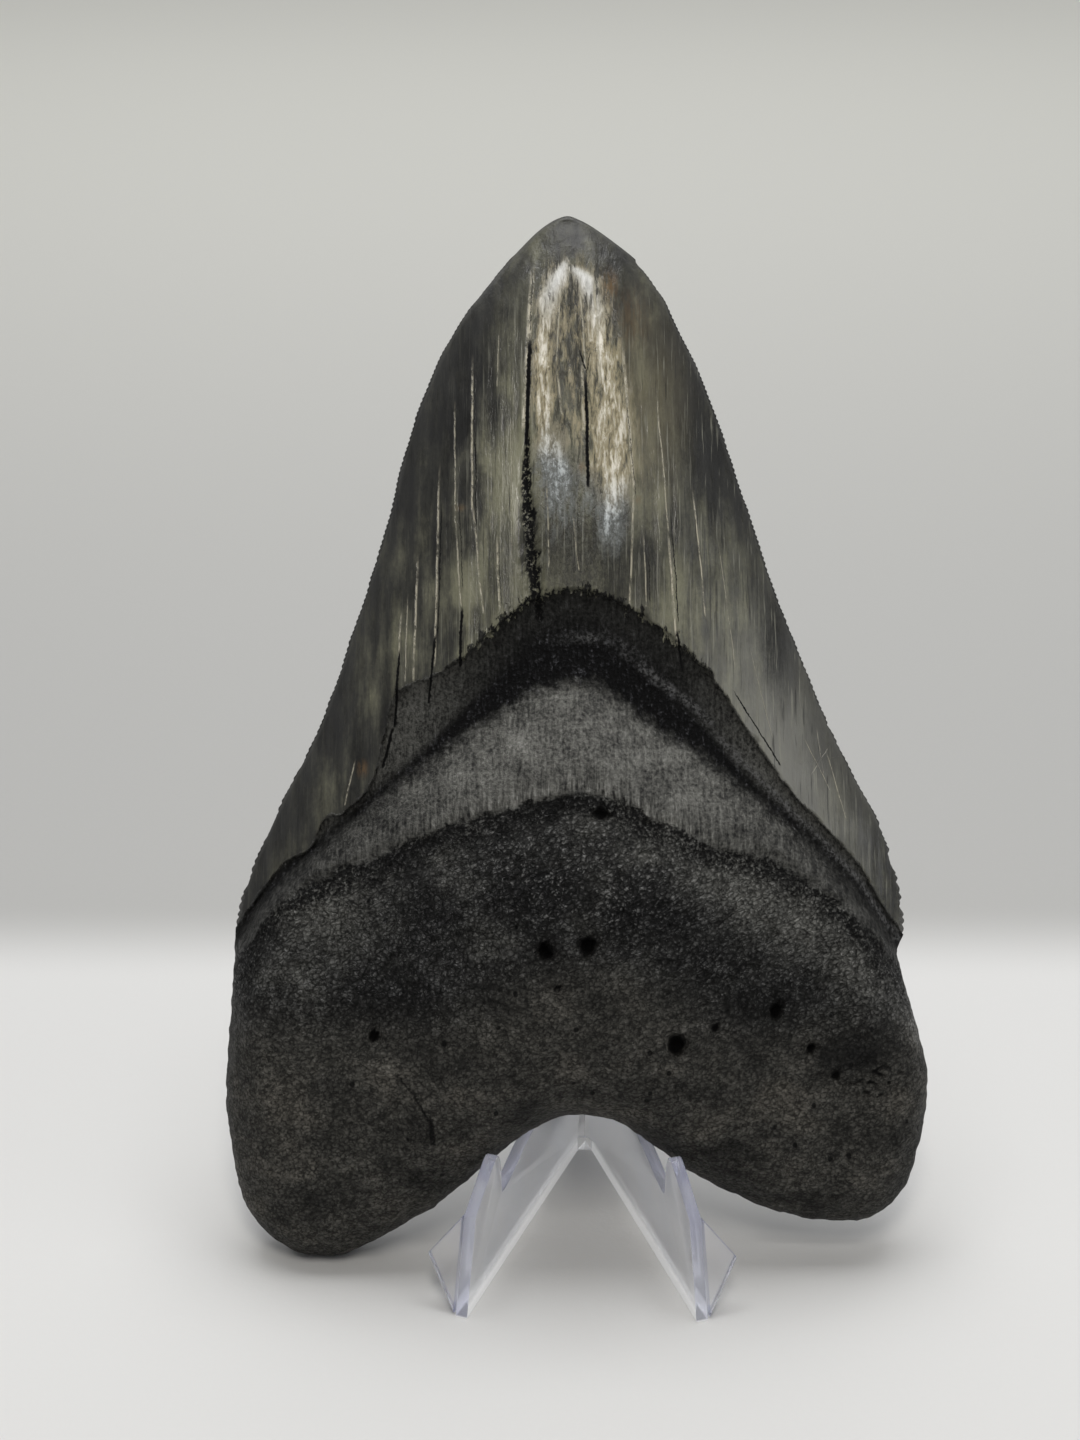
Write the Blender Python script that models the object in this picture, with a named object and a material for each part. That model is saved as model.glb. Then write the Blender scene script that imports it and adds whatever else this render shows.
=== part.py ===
"""A fossil megalodon tooth leaning back on a small clear display stand.

The tooth is one natural piece: an enamelled triangular crown, the dark chevron band
(bourlette) below it, and a two-lobed root whose left lobe touches the surface.
The stand is one rigid moulding: two upright plates that part like a V from a spine behind
the tooth, each with a ledge, a hook and a small outward flange at its foot.

Tables and shape functions are in millimetres, and objects are in metres. +Z is up, and the
tooth's lingual face looks towards -Y. In the tooth's own plane x runs to the right, s runs
up from the lowest lobe to the tip, and depth d rises towards the viewer of that face.
"""

import math

import bpy
import numpy as np
from mathutils import Vector, noise

MM = 0.001

# ---- tooth: driving dimensions -------------------------------------------------------
SLANT_HEIGHT = 150.0  # lowest lobe to tip, along the tooth
DRAWN_HEIGHT = 150.1  # the outline tables below are drawn at this height
LEAN = math.radians(24.5)  # how far the tooth leans back from upright
ENAMEL_STEP = 0.6  # the enamel stands this far above the bourlette
ROOT_GROOVE = 0.8  # depth of the line along the root's upper edge
LUMP_HEIGHT = 0.45  # half height of the root's slow swells
LUMP_PITCH = 13.0
FRONT_RIM = 9.0  # width of the rounding along the root's outline, lingual side
BACK_RIM = 7.0
ARCH_FORWARD = 3.0  # the root's middle stands this far in front of its lobes
CROWN_BOW = 1.5  # how far the cutting edges bow forward at mid height
TIP_FULLNESS = 18.0  # how soon the crown gains its depth below the tip's edge

COLUMNS = 40
ROWS = {"root": 16, "dome": 5, "band": 5, "crown": 19}
SMALL_STEP = 0.6  # spacing of the two rows that make a step or a groove crisp

# Outline, as (x, s) points joined by a smooth curve.
CROWN_LEFT = [
    (-49.1, 47.4), (-47.6, 53.7), (-42.6, 65.2), (-37.1, 76.0), (-31.7, 91.2),
    (-28.9, 99.9), (-26.4, 108.5), (-24.5, 116.5), (-22.4, 122.9), (-20.2, 128.0),
    (-17.3, 133.8), (-13.7, 138.8), (-9.4, 143.9),
]
TIP = [(-9.4, 143.9), (-5.1, 148.2), (-1.7, 150.1), (0.6, 149.6), (3.6, 147.8), (8.7, 143.9)]
CROWN_RIGHT = [
    (47.4, 46.4), (47.3, 50.8), (45.9, 56.6), (44.0, 62.3), (40.8, 68.1), (37.5, 74.6),
    (34.6, 81.1), (28.9, 95.5), (26.0, 104.2), (23.1, 112.8), (20.2, 121.5),
    (16.6, 130.2), (13.0, 137.4), (8.7, 143.9),
]
ROOT_LEFT = [
    (-47.6, 7.6), (-49.3, 13.3), (-50.2, 20.5), (-50.2, 27.7), (-49.8, 34.9), (-49.3, 42.1),
]
ROOT_RIGHT = [
    (45.8, 7.7), (48.4, 12.2), (50.1, 19.0), (50.8, 25.5), (49.6, 32.0), (47.9, 37.8),
    (47.0, 41.5),
]
ROOT_LOWER = [
    (-47.6, 7.6), (-44.0, 2.9), (-39.7, 0.5), (-33.9, 0.2), (-28.1, 2.7), (-22.4, 6.2),
    (-16.6, 10.2), (-10.8, 15.4), (-6.5, 18.6), (-2.2, 20.7), (2.2, 20.8), (6.5, 19.6),
    (12.3, 15.6), (16.6, 12.3), (22.4, 9.4), (28.1, 6.8), (35.4, 5.3), (41.1, 5.3),
    (45.8, 7.7),
]
LEFT_SHOULDER = [(-49.3, 42.1), (-49.2, 44.8), (-49.1, 47.4)]
RIGHT_SHOULDER = [(47.0, 41.5), (46.5, 44.2), (47.4, 46.4)]

# Lines across the lingual face, left to right.
ENAMEL_FRONT = [
    (-49.1, 47.4), (-42.4, 56.3), (-38.2, 58.8), (-35.6, 63.6), (-33.0, 64.2), (-29.0, 68.7),
    (-27.1, 75.3), (-25.5, 81.1), (-19.5, 84.0), (-15.2, 86.9), (-7.9, 93.4), (-2.2, 95.5),
    (3.6, 95.0), (9.4, 92.0), (18.0, 85.0), (23.5, 77.1), (29.9, 68.0), (35.6, 62.0),
    (40.8, 56.3), (44.0, 50.9), (47.4, 46.4),
]
DOME_FRONT = [
    (-49.2, 44.8), (-42.6, 53.7), (-33.9, 60.9), (-24.1, 69.0), (-17.0, 74.2), (-12.3, 77.1),
    (-6.1, 81.0), (1.3, 82.6), (5.1, 80.8), (10.1, 76.6), (16.0, 73.0), (21.5, 69.0),
    (29.3, 63.1), (39.7, 53.2), (46.5, 44.2),
]
ROOT_FRONT = [
    (-49.3, 42.1), (-42.6, 50.6), (-35.4, 55.1), (-28.1, 57.8), (-18.9, 62.0), (-7.5, 65.5),
    (1.3, 67.2), (8.7, 64.2), (19.8, 59.4), (27.1, 57.6), (36.8, 51.6), (41.1, 47.7),
    (47.0, 41.5),
]

# The same lines on the labial face, where the band is narrow and its arch is shallow.
ENAMEL_BACK = [
    (-49.1, 47.4), (-40.0, 51.5), (-25.0, 57.0), (-10.0, 60.4), (0.0, 61.2), (10.0, 60.2),
    (25.0, 56.4), (39.0, 50.6), (47.4, 46.4),
]
DOME_BACK = [
    (-49.2, 44.8), (-40.0, 49.3), (-25.0, 54.9), (-10.0, 58.2), (0.0, 59.0), (10.0, 58.0),
    (25.0, 54.2), (39.0, 48.4), (46.5, 44.2),
]
ROOT_BACK = [
    (-49.3, 42.1), (-40.0, 46.9), (-25.0, 52.6), (-10.0, 56.0), (0.0, 56.8), (10.0, 55.8),
    (25.0, 52.0), (39.0, 46.0), (47.0, 41.5),
]

# Depth of the crown's middle over its cutting edges, by height s.
CROWN_FRONT_DEPTH = [
    (45.0, 14.4), (60.0, 13.8), (80.0, 12.0), (95.0, 10.3), (110.0, 8.5), (125.0, 6.5),
    (138.0, 4.4), (146.0, 2.3), (150.1, 0.0),
]
CROWN_BACK_DEPTH = [
    (45.0, 7.4), (60.0, 6.8), (80.0, 5.6), (95.0, 4.8), (110.0, 4.0), (125.0, 3.1),
    (138.0, 2.2), (146.0, 1.2), (150.1, 0.0),
]
# Depth of the root's middle, by level: 0 lower outline, 1 root's upper edge, 2 top of the
# dome, 3 enamel edge.
ROOT_FRONT_DEPTH = [
    (0.0, 13.0), (0.15, 14.6), (0.35, 18.4), (0.55, 21.2), (0.75, 22.0), (0.9, 20.4),
    (1.0, 18.4), (1.5, 17.0), (2.0, 13.6), (2.5, 11.2), (3.0, 10.0),
]
ROOT_BACK_DEPTH = [(0.0, 7.0), (0.5, 7.8), (1.0, 7.2), (2.0, 6.9), (3.0, 6.7)]
LOBE_SHARE = 0.5  # the lobes' depth as a share of the middle's
LOBE_REACH = 26.0  # how far from the middle the root thins towards its lobes

# Nutrient holes: x, s, radius, depth.
FORAMINA_FRONT = [
    (-4.3, 45.7, 1.0, 3.5), (1.5, 46.4, 1.1, 3.0), (13.8, 32.6, 1.5, 4.5), (27.8, 36.9, 1.0, 3.0),
    (32.8, 31.2, 0.7, 2.0), (-28.2, 33.4, 0.7, 2.0), (3.2, 64.7, 1.0, 1.8), (43.0, 26.8, 1.5, 1.2),
]
FORAMINA_BACK = [(-9.0, 37.0, 1.0, 2.5), (3.5, 42.0, 0.8, 2.0), (19.0, 33.5, 1.1, 2.5)]
FORAMEN_SIDES = 8

# Open cracks on the lingual face, as (x, s, width) from the top down, with their depth.
CROWN_CRACK = [
    (-6.3, 134.0, 0.3), (-6.8, 124.0, 0.5), (-7.0, 115.0, 0.9), (-6.4, 110.5, 1.6),
    (-6.0, 105.0, 1.9), (-5.7, 99.5, 1.6), (-5.5, 96.0, 0.8),
]
ROOT_CRACK = [(-22.8, 25.4, 0.4), (-21.6, 22.4, 0.9), (-20.2, 19.4, 1.6), (-19.7, 17.6, 0.6)]
CRACK_DEPTH = 1.3

# ---- stand: driving dimensions -------------------------------------------------------
PLATE_LENGTH = 51.0  # spine to foot, along a plate
PLATE_THICKNESS = 1.8
HALF_ANGLE = math.radians(19.3)  # between a plate and the stand's middle plane
STAND_TURN = math.radians(-1.4)
SPINE_PLACE = (1.95, 33.0)  # in plan, from the foot of the tooth's own plane
SPINE_HEIGHT = 46.6
# Profile of a plate, as (distance from the spine, height).
FRONT_KNEE = (47.3, 14.6)
HOOK_OUTER = (40.9, 18.7)
HOOK_TOP = (38.9, 19.5)
HOOK_INNER = (37.7, 18.0)
NOTCH = (37.2, 12.6)  # lowest point of the cradle
LEDGE = (28.4, 14.6)
CRADLE = (22.0, 16.4)
REST_FOOT = (17.0, 20.2)
SPINE_BLOCK = (1.1, 5.8, 2.6)  # half width, reach towards the front, height
FLANGE_REACH = 4.7
FLANGE_HEIGHT = 7.9
FLANGE_TOP = 14.2
FLANGE_THICKNESS = 1.2
FLUSH_GAP = 0.2  # keeps the joined pieces' faces off the plate's, so that they join cleanly

TOOTH_COLOUR = (0.035, 0.033, 0.030, 1.0)
STAND_COLOUR = (0.86, 0.88, 0.95, 0.25)


# ---- curves ----------------------------------------------------------------------------
def smooth(points, per_span=12):
    """Dense points of a Catmull-Rom curve through the given ones."""
    p = np.array(points, float)
    p = np.vstack([2 * p[0] - p[1], p, 2 * p[-1] - p[-2]])
    t = np.linspace(0.0, 1.0, per_span, endpoint=False)[:, None]
    spans = []
    for a, b, c, d in zip(p, p[1:], p[2:], p[3:]):
        bend = (2 * a - 5 * b + 4 * c - d) * t**2 + (3 * b - a - 3 * c + d) * t**3
        spans.append(0.5 * (2 * b + (c - a) * t + bend))
    return np.vstack([*spans, p[-2][None]])


def along(curve, shares):
    """Points of a dense curve at the given shares of its length."""
    steps = np.hypot(*np.diff(curve, axis=0).T)
    length = np.concatenate([[0.0], np.cumsum(steps)])
    at = np.asarray(shares) * length[-1]
    return np.column_stack([np.interp(at, length, curve[:, axis]) for axis in (0, 1)])


def value(table, at):
    """A smooth curve through (place, value) pairs, read at the given places."""
    curve = smooth(table)
    return np.interp(at, curve[:, 0], curve[:, 1])


def smoothstep(low, high, at):
    t = np.clip((at - low) / (high - low), 0.0, 1.0)
    return t * t * (3 - 2 * t)


def patch(bottom, top, left, right, across, up):
    """Grid of points between four edges that meet at their ends: a Coons patch."""
    u = across[None, :, None]
    v = up[:, None, None]
    ruled = (1 - v) * bottom[None] + v * top[None] + (1 - u) * left[:, None] + u * right[:, None]
    corners = (
        (1 - u) * (1 - v) * bottom[0] + u * (1 - v) * bottom[-1]
        + (1 - u) * v * top[0] + u * v * top[-1]
    )
    return ruled - corners


def distance_to(curve, points):
    """Distance from each point to the nearest stretch of a curve."""
    start = curve[:-1]
    step = np.diff(curve, axis=0)
    offset = points[..., None, :] - start
    share = np.clip((offset * step).sum(-1) / (step**2).sum(-1), 0.0, 1.0)
    return np.sqrt(((offset - share[..., None] * step) ** 2).sum(-1).min(-1))


# ---- the tooth's plane -----------------------------------------------------------------
ACROSS = 0.2 * np.linspace(0, 1, COLUMNS + 1)
ACROSS += 0.8 * (0.5 - 0.5 * np.cos(np.pi * np.linspace(0, 1, COLUMNS + 1)))

OUTLINE_LEFT = smooth(CROWN_LEFT + TIP[1:3])
OUTLINE_RIGHT = smooth(CROWN_RIGHT + TIP[-2:1:-1])
ROOT_OUTLINE = smooth(
    LEFT_SHOULDER[::-1] + ROOT_LEFT[-2::-1] + ROOT_LOWER[1:] + ROOT_RIGHT[1:] + RIGHT_SHOULDER[1:],
    4,
)


def row_shares(name):
    """Where a block's rows lie between its lower and its upper line."""
    t = np.linspace(0.0, 1.0, ROWS[name] + 1)
    if name == "root":
        shares = 1 - np.cos(0.5 * np.pi * t)
        return np.sort(np.append(0.85 * shares + 0.15 * t, [1 - SMALL_STEP / 45.0]))
    if name == "dome":
        return np.sort(np.append(t, SMALL_STEP / 15.0))
    if name == "band":
        return np.sort(np.append(t, 1 - 0.5 * SMALL_STEP / 12.0))
    return t**1.1


def face_grid(enamel, dome, root):
    """Plane points and levels of one face, from the lower outline up to the tip.

    Levels run 0 to 1 over the root, 1 to 2 over the dome, 2 to 3 over the dark band and
    3 to 4 over the crown. Both faces have the same points on the outline.
    """
    root_line, dome_line, enamel_line = (along(smooth(t), ACROSS) for t in (root, dome, enamel))
    lowest = along(smooth(ROOT_LOWER), ACROSS)
    tip_line = along(smooth(TIP), ACROSS)
    left_shoulder = smooth(LEFT_SHOULDER)
    right_shoulder = smooth(RIGHT_SHOULDER)
    blocks = [
        ("root", lowest, root_line, smooth(ROOT_LEFT), smooth(ROOT_RIGHT)),
        ("dome", root_line, dome_line, left_shoulder, right_shoulder),
        ("band", dome_line, enamel_line, left_shoulder, right_shoulder),
        ("crown", enamel_line, tip_line, smooth(CROWN_LEFT), smooth(CROWN_RIGHT)),
    ]
    points = []
    levels = []
    for level, (name, bottom, top, left, right) in enumerate(blocks):
        up = row_shares(name)
        low, high = {"dome": (0.0, 0.5), "band": (0.5, 1.0)}.get(name, (0.0, 1.0))
        sides = [along(edge, low + (high - low) * up) for edge in (left, right)]
        grid = patch(bottom, top, *sides, ACROSS, up)
        kept = slice(0 if level == 0 else 1, None)
        points.append(grid[kept])
        levels.append(np.broadcast_to(level + up[kept, None], grid[kept].shape[:2]))
    return np.concatenate(points), np.concatenate(levels)


FACES = {
    "front": face_grid(ENAMEL_FRONT, DOME_FRONT, ROOT_FRONT),
    "back": face_grid(ENAMEL_BACK, DOME_BACK, ROOT_BACK),
}


# ---- depth -----------------------------------------------------------------------------
def crown_section(points):
    """How far across the crown a point lies: -1 and 1 on its cutting edges."""
    x, s = points[..., 0], points[..., 1]
    left = np.interp(s, OUTLINE_LEFT[:, 1], OUTLINE_LEFT[:, 0])
    right = np.interp(s, OUTLINE_RIGHT[:, 1], OUTLINE_RIGHT[:, 0])
    width = np.maximum(right - left, 1e-6)
    return np.clip(2 * (x - left) / width - 1, -1.0, 1.0)


def middle_depth(points):
    """Depth of the surface half way through the tooth, where the outline lies."""
    x, s = points[..., 0], points[..., 1]
    arch = ARCH_FORWARD * np.exp(-((x / 17.0) ** 2)) * (1 - smoothstep(20.0, 50.0, s))
    bow = CROWN_BOW * np.sin(np.pi * np.clip((s - 47.0) / 103.0, 0.0, 1.0))
    return arch + bow


def rounding(distance, width):
    """Quarter-round profile: 0 on the outline and 1 from the given width inwards."""
    t = 1 - np.clip(distance / width, 0.0, 1.0)
    return np.sqrt(1 - t * t)


def lumps(points, seed):
    """Slow swells, from -1 to 1."""
    flat = points.reshape(-1, 2) / LUMP_PITCH
    found = [noise.fractal(Vector((x, s, seed)), 0.6, 2.1, 3) for x, s in flat]
    return np.array(found).reshape(points.shape[:2])


def face_depth(points, levels, crown_table, root_table, fullness, rim, seed):
    """Height of one face over the middle surface, before steps and grooves."""
    x, s = points[..., 0], points[..., 1]
    crown = value(crown_table, s) * (1 - crown_section(points) ** 2) ** fullness
    crown *= 1 - np.exp(-TIP_FULLNESS * np.clip(4 - levels, 0.0, 1.0))
    lobes = LOBE_SHARE + (1 - LOBE_SHARE) * np.exp(-((x / LOBE_REACH) ** 2))
    edge = distance_to(ROOT_OUTLINE, points)
    round_off = rounding(edge, rim)
    root = value(root_table, np.clip(levels, 0.0, 3.0)) * lobes * round_off
    root += LUMP_HEIGHT * lumps(points, seed) * round_off
    rootness = 1 - smoothstep(1.0, 3.0, levels)
    return (1 - rootness) * crown + rootness * root, edge


def front_depth(points, levels):
    depth, edge = face_depth(
        points, levels, CROWN_FRONT_DEPTH, ROOT_FRONT_DEPTH, 0.95, FRONT_RIM, 0.0
    )
    inward = np.clip(edge / 2.0, 0.0, 1.0) * (1 - crown_section(points) ** 8)
    depth += ENAMEL_STEP * inward * (levels > 2.999)
    groove = np.exp(-(((levels - 1.0) / 0.03) ** 2))
    return middle_depth(points) + depth - ROOT_GROOVE * groove * np.clip(edge / 4.0, 0.0, 1.0)


def back_depth(points, levels):
    depth, edge = face_depth(
        points, levels, CROWN_BACK_DEPTH, ROOT_BACK_DEPTH, 0.6, BACK_RIM, 5.0
    )
    inward = np.clip(edge / 2.0, 0.0, 1.0) * (1 - crown_section(points) ** 8)
    depth += 0.6 * ENAMEL_STEP * inward * (levels > 2.999)
    return middle_depth(points) - depth


# ---- building ------------------------------------------------------------------------
def place(x, s, d):
    """World position, in metres, of a point of the leaning tooth, before it is set down."""
    size = MM * SLANT_HEIGHT / DRAWN_HEIGHT
    return Vector((
        x * size,
        (s * math.sin(LEAN) - d * math.cos(LEAN)) * size,
        (s * math.cos(LEAN) + d * math.sin(LEAN)) * size,
    ))


def material(name, colour, roughness, metallic=0.0, transmission=0.0, ior=1.5):
    made = bpy.data.materials.new(name)
    made.use_nodes = True
    shader = made.node_tree.nodes["Principled BSDF"]
    shader.inputs["Base Color"].default_value = colour
    shader.inputs["Roughness"].default_value = roughness
    shader.inputs["Metallic"].default_value = metallic
    shader.inputs["Transmission Weight"].default_value = transmission
    shader.inputs["IOR"].default_value = ior
    return made


def add_object(name, vertices, faces):
    mesh = bpy.data.meshes.new(name)
    mesh.from_pydata([tuple(v) for v in vertices], [], faces)
    mesh.update()
    made = bpy.data.objects.new(name, mesh)
    bpy.context.scene.collection.objects.link(made)
    return made


def add_helper(name, vertices, faces):
    """A solid that only joins or cuts another one."""
    made = add_object(name, vertices, faces)
    made.hide_render = True
    made.display_type = "WIRE"
    return made


def combine(target, other, operation):
    modifier = target.modifiers.new(f"{operation.lower()} {other.name}", "BOOLEAN")
    modifier.operation = operation
    modifier.solver = "EXACT"
    modifier.object = other


def tooth_mesh():
    """Vertices and faces of the closed tooth. The two faces share the outline's vertices."""
    depths = {"front": front_depth(*FACES["front"]), "back": back_depth(*FACES["back"])}
    rows, columns = depths["front"].shape
    vertices = []
    index = {}
    for face, (grid, _) in FACES.items():
        for row in range(rows):
            for column in range(columns):
                on_outline = row in (0, rows - 1) or column in (0, columns - 1)
                if on_outline and face == "back":
                    index[face, row, column] = index["front", row, column]
                    continue
                index[face, row, column] = len(vertices)
                vertices.append(place(*grid[row, column], depths[face][row, column]))
    faces = []
    for row in range(rows - 1):
        for column in range(columns - 1):
            ring = [(row, column), (row, column + 1), (row + 1, column + 1), (row + 1, column)]
            faces.append([index[("front", *corner)] for corner in ring])
            faces.append([index[("back", *corner)] for corner in reversed(ring)])
    return vertices, faces


def face_point(face, x, s):
    """Depth at one point of a face, and the sign that points out of the tooth there."""
    grid, levels = FACES[face]
    nearest = np.hypot(grid[..., 0] - x, grid[..., 1] - s).argmin()
    point = np.array([[[x, s]]])
    level = levels.reshape(1, -1)[:, nearest : nearest + 1]
    if face == "front":
        return front_depth(point, level)[0, 0], 1
    return back_depth(point, level)[0, 0], -1


def foramen(name, face, x, s, radius, depth):
    """Tapered pit cutter that stands on a face with its narrow end inside the root."""
    surface, out = face_point(face, x, s)
    rings = [(2.0, 1.25 * radius), (0.0, radius), (-depth, 0.35 * radius)]
    turns = [2 * math.pi * k / FORAMEN_SIDES for k in range(FORAMEN_SIDES)]
    vertices = [
        place(x + out * r * math.cos(turn), s + 1.25 * r * math.sin(turn), surface + out * rise)
        for rise, r in rings for turn in turns
    ]
    return add_helper(name, vertices, tube_faces(len(rings), FORAMEN_SIDES))


def crack(name, path):
    """Wedge that follows a crack: wide over the surface and sharp at its bottom."""
    vertices = []
    for x, s, width in path:
        surface, _ = face_point("front", x, s)
        corners = [(-width, CRACK_DEPTH), (width, CRACK_DEPTH), (0.0, -CRACK_DEPTH)]
        vertices += [place(x + dx, s, surface + rise) for dx, rise in corners]
    return add_helper(name, vertices, tube_faces(len(path), 3))


def tube_faces(rings, sides):
    """Faces of a capped tube whose rings follow one another, anticlockwise seen from the first."""
    faces = [list(range(sides))]
    for ring in range(rings - 1):
        for side in range(sides):
            a = ring * sides + side
            b = ring * sides + (side + 1) % sides
            faces.append([a, a + sides, b + sides, b])
    faces.append([(rings - 1) * sides + side for side in reversed(range(sides))])
    return faces


def build_tooth():
    tooth = add_object("tooth", *tooth_mesh())
    cutters = [crack("crown_crack", CROWN_CRACK), crack("root_crack", ROOT_CRACK)]
    for face, holes in (("front", FORAMINA_FRONT), ("back", FORAMINA_BACK)):
        for number, hole in enumerate(holes, 1):
            cutters.append(foramen(f"foramen_{face}_{number}", face, *hole))
    for cutter in cutters:
        combine(tooth, cutter, "DIFFERENCE")
        cutter.parent = tooth
    lowest = min(vertex.co.z for vertex in tooth.data.vertices)
    tooth.location.z = -lowest
    tooth.data.materials.append(material("tooth", TOOTH_COLOUR, 0.4))
    return tooth


def plate_profile():
    """Outline of one plate, as (distance from the spine, height), anticlockwise."""
    hook = smooth([FRONT_KNEE, HOOK_OUTER, HOOK_TOP, HOOK_INNER, NOTCH], 3)[1:-1]
    cradle = smooth([HOOK_INNER, NOTCH, LEDGE, CRADLE, REST_FOOT], 3)[3:-1]
    front = [(-2.5, 0.0), (PLATE_LENGTH, 0.0), FRONT_KNEE]
    rest = [REST_FOOT, (1.0, SPINE_HEIGHT), (-2.5, SPINE_HEIGHT)]
    return [*front, *map(tuple, hook), *map(tuple, cradle), *rest]


def plate_point(distance, outward, height):
    """A point of the right-hand plate, in the stand's own frame."""
    x = distance * math.sin(HALF_ANGLE) + outward * math.cos(HALF_ANGLE)
    y = -distance * math.cos(HALF_ANGLE) + outward * math.sin(HALF_ANGLE)
    return Vector((x, y, height)) * MM


def prism(outline_a, outline_b):
    """Vertices and faces of a solid between two outlines with matching points."""
    return [*outline_a, *outline_b], tube_faces(2, len(outline_a))


def flange():
    """Triangular foot flange that stands out from the plate along its front edge."""
    slope = (PLATE_LENGTH - FRONT_KNEE[0]) / FRONT_KNEE[1]
    triangle = [(0.0, FLUSH_GAP), (FLANGE_REACH, FLANGE_HEIGHT), (0.0, FLANGE_TOP)]
    sides = []
    for setback in (FLUSH_GAP, FLUSH_GAP + FLANGE_THICKNESS):
        front = PLATE_LENGTH - setback
        sides.append([plate_point(front - slope * z, w, z) for w, z in triangle])
    return add_helper("flange", *prism(*sides))


def spine_block():
    """Small foot that fills the corner where the plates meet."""
    half, reach, height = SPINE_BLOCK
    plan = [(-half, -reach), (half, -reach), (half, -1.0), (-half, -1.0)]
    levels = [[Vector((x, y, z)) * MM for x, y in plan] for z in (height, FLUSH_GAP)]
    return add_helper("spine_block", *prism(*levels))


def build_stand():
    profile = plate_profile()
    half = 0.5 * PLATE_THICKNESS
    faces = [[plate_point(r, side, z) for r, z in profile] for side in (half, -half)]
    stand = add_object("stand", *prism(*faces))
    for helper in (flange(), spine_block()):
        combine(stand, helper, "UNION")
        helper.parent = stand
    mirror = stand.modifiers.new("both plates", "MIRROR")
    mirror.use_axis[0] = True
    mirror.use_bisect_axis[0] = True
    mirror.merge_threshold = 0.0001
    mirror.use_mirror_merge = True
    stand.data.materials.append(material("stand", STAND_COLOUR, 0.05, transmission=1.0, ior=1.49))
    stand.rotation_euler.z = STAND_TURN
    stand.location = (SPINE_PLACE[0] * MM, SPINE_PLACE[1] * MM, 0.0)
    return stand


def centre_on_floor(pieces):
    """Moves the pieces so that the origin is below the middle of their common box."""
    bpy.context.view_layer.update()
    graph = bpy.context.evaluated_depsgraph_get()
    places = []
    for piece in pieces:
        shape = piece.evaluated_get(graph).data
        places += [piece.matrix_world @ vertex.co for vertex in shape.vertices]
    for axis in (0, 1):
        middle = 0.5 * (min(p[axis] for p in places) + max(p[axis] for p in places))
        for piece in pieces:
            piece.location[axis] -= middle


def main():
    for item in list(bpy.data.objects):
        bpy.data.objects.remove(item, do_unlink=True)
    centre_on_floor([build_tooth(), build_stand()])


main()
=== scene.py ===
"""A fossil megalodon tooth on a clear stand: fine meshes, materials, lights and camera.

The tooth and the stand replace the CAD nodes of the same names and keep their shapes.
Tables, shape functions and material nodes are in millimetres, and objects are in metres.
In the tooth's own plane x runs to the right and s up from the lowest lobe to the tip. Depth
rises towards the viewer of the lingual face, which is the front and looks towards -Y.
"""

import math
from collections import namedtuple

import bpy
import numpy as np
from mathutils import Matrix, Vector, noise


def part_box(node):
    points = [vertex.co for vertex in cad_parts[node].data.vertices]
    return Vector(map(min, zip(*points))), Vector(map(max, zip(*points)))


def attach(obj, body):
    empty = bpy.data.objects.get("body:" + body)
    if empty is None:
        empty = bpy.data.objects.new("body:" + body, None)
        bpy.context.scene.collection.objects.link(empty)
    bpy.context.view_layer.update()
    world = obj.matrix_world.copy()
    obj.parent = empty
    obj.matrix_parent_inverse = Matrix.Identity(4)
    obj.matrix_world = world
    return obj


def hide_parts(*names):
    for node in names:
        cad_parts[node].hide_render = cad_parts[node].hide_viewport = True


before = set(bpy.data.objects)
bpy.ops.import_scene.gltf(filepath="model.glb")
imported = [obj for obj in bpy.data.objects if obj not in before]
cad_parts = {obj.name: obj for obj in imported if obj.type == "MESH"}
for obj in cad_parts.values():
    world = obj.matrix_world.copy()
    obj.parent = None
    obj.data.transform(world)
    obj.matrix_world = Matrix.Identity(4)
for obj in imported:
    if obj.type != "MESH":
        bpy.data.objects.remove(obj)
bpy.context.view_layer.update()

MM = 0.001

# ---- tooth: the shape that the CAD solid has
SLANT_HEIGHT = 150.0  # lowest lobe to tip, along the tooth
DRAWN_HEIGHT = 150.1  # the outline tables below are drawn at this height
LEAN = math.radians(24.5)  # how far the tooth leans back from upright
ENAMEL_STEPS = {"front": 0.6, "back": 0.36}  # how far the enamel stands above the bourlette
ROOT_GROOVE = (0.8, 0.9)  # depth and half width of the line along the root's upper edge
LUMP_HEIGHT = 0.45  # half height of the root's slow swells
LUMP_PITCH = 13.0
ARCH_FORWARD = 3.0  # the root's middle stands this far in front of its lobes
ARCH_WIDTH = 17.0
ARCH_FADE = (20.0, 50.0)  # heights s between which the arch flattens
CROWN_BOW = 1.5  # how far the cutting edges bow forward at mid height
BOW_FOOT = 47.0  # height s where the bow starts
TIP_FULLNESS = 18.0  # how soon the crown gains its depth below the tip's edge

# Outline, as (x, s) points joined by a smooth curve.
CROWN_LEFT = [
    (-49.1, 47.4), (-47.6, 53.7), (-42.6, 65.2), (-37.1, 76.0), (-31.7, 91.2),
    (-28.9, 99.9), (-26.4, 108.5), (-24.5, 116.5), (-22.4, 122.9), (-20.2, 128.0),
    (-17.3, 133.8), (-13.7, 138.8), (-9.4, 143.9),
]
TIP = [(-9.4, 143.9), (-5.1, 148.2), (-1.7, 150.1), (0.6, 149.6), (3.6, 147.8), (8.7, 143.9)]
CROWN_RIGHT = [
    (47.4, 46.4), (47.3, 50.8), (45.9, 56.6), (44.0, 62.3), (40.8, 68.1), (37.5, 74.6),
    (34.6, 81.1), (28.9, 95.5), (26.0, 104.2), (23.1, 112.8), (20.2, 121.5),
    (16.6, 130.2), (13.0, 137.4), (8.7, 143.9),
]
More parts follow.
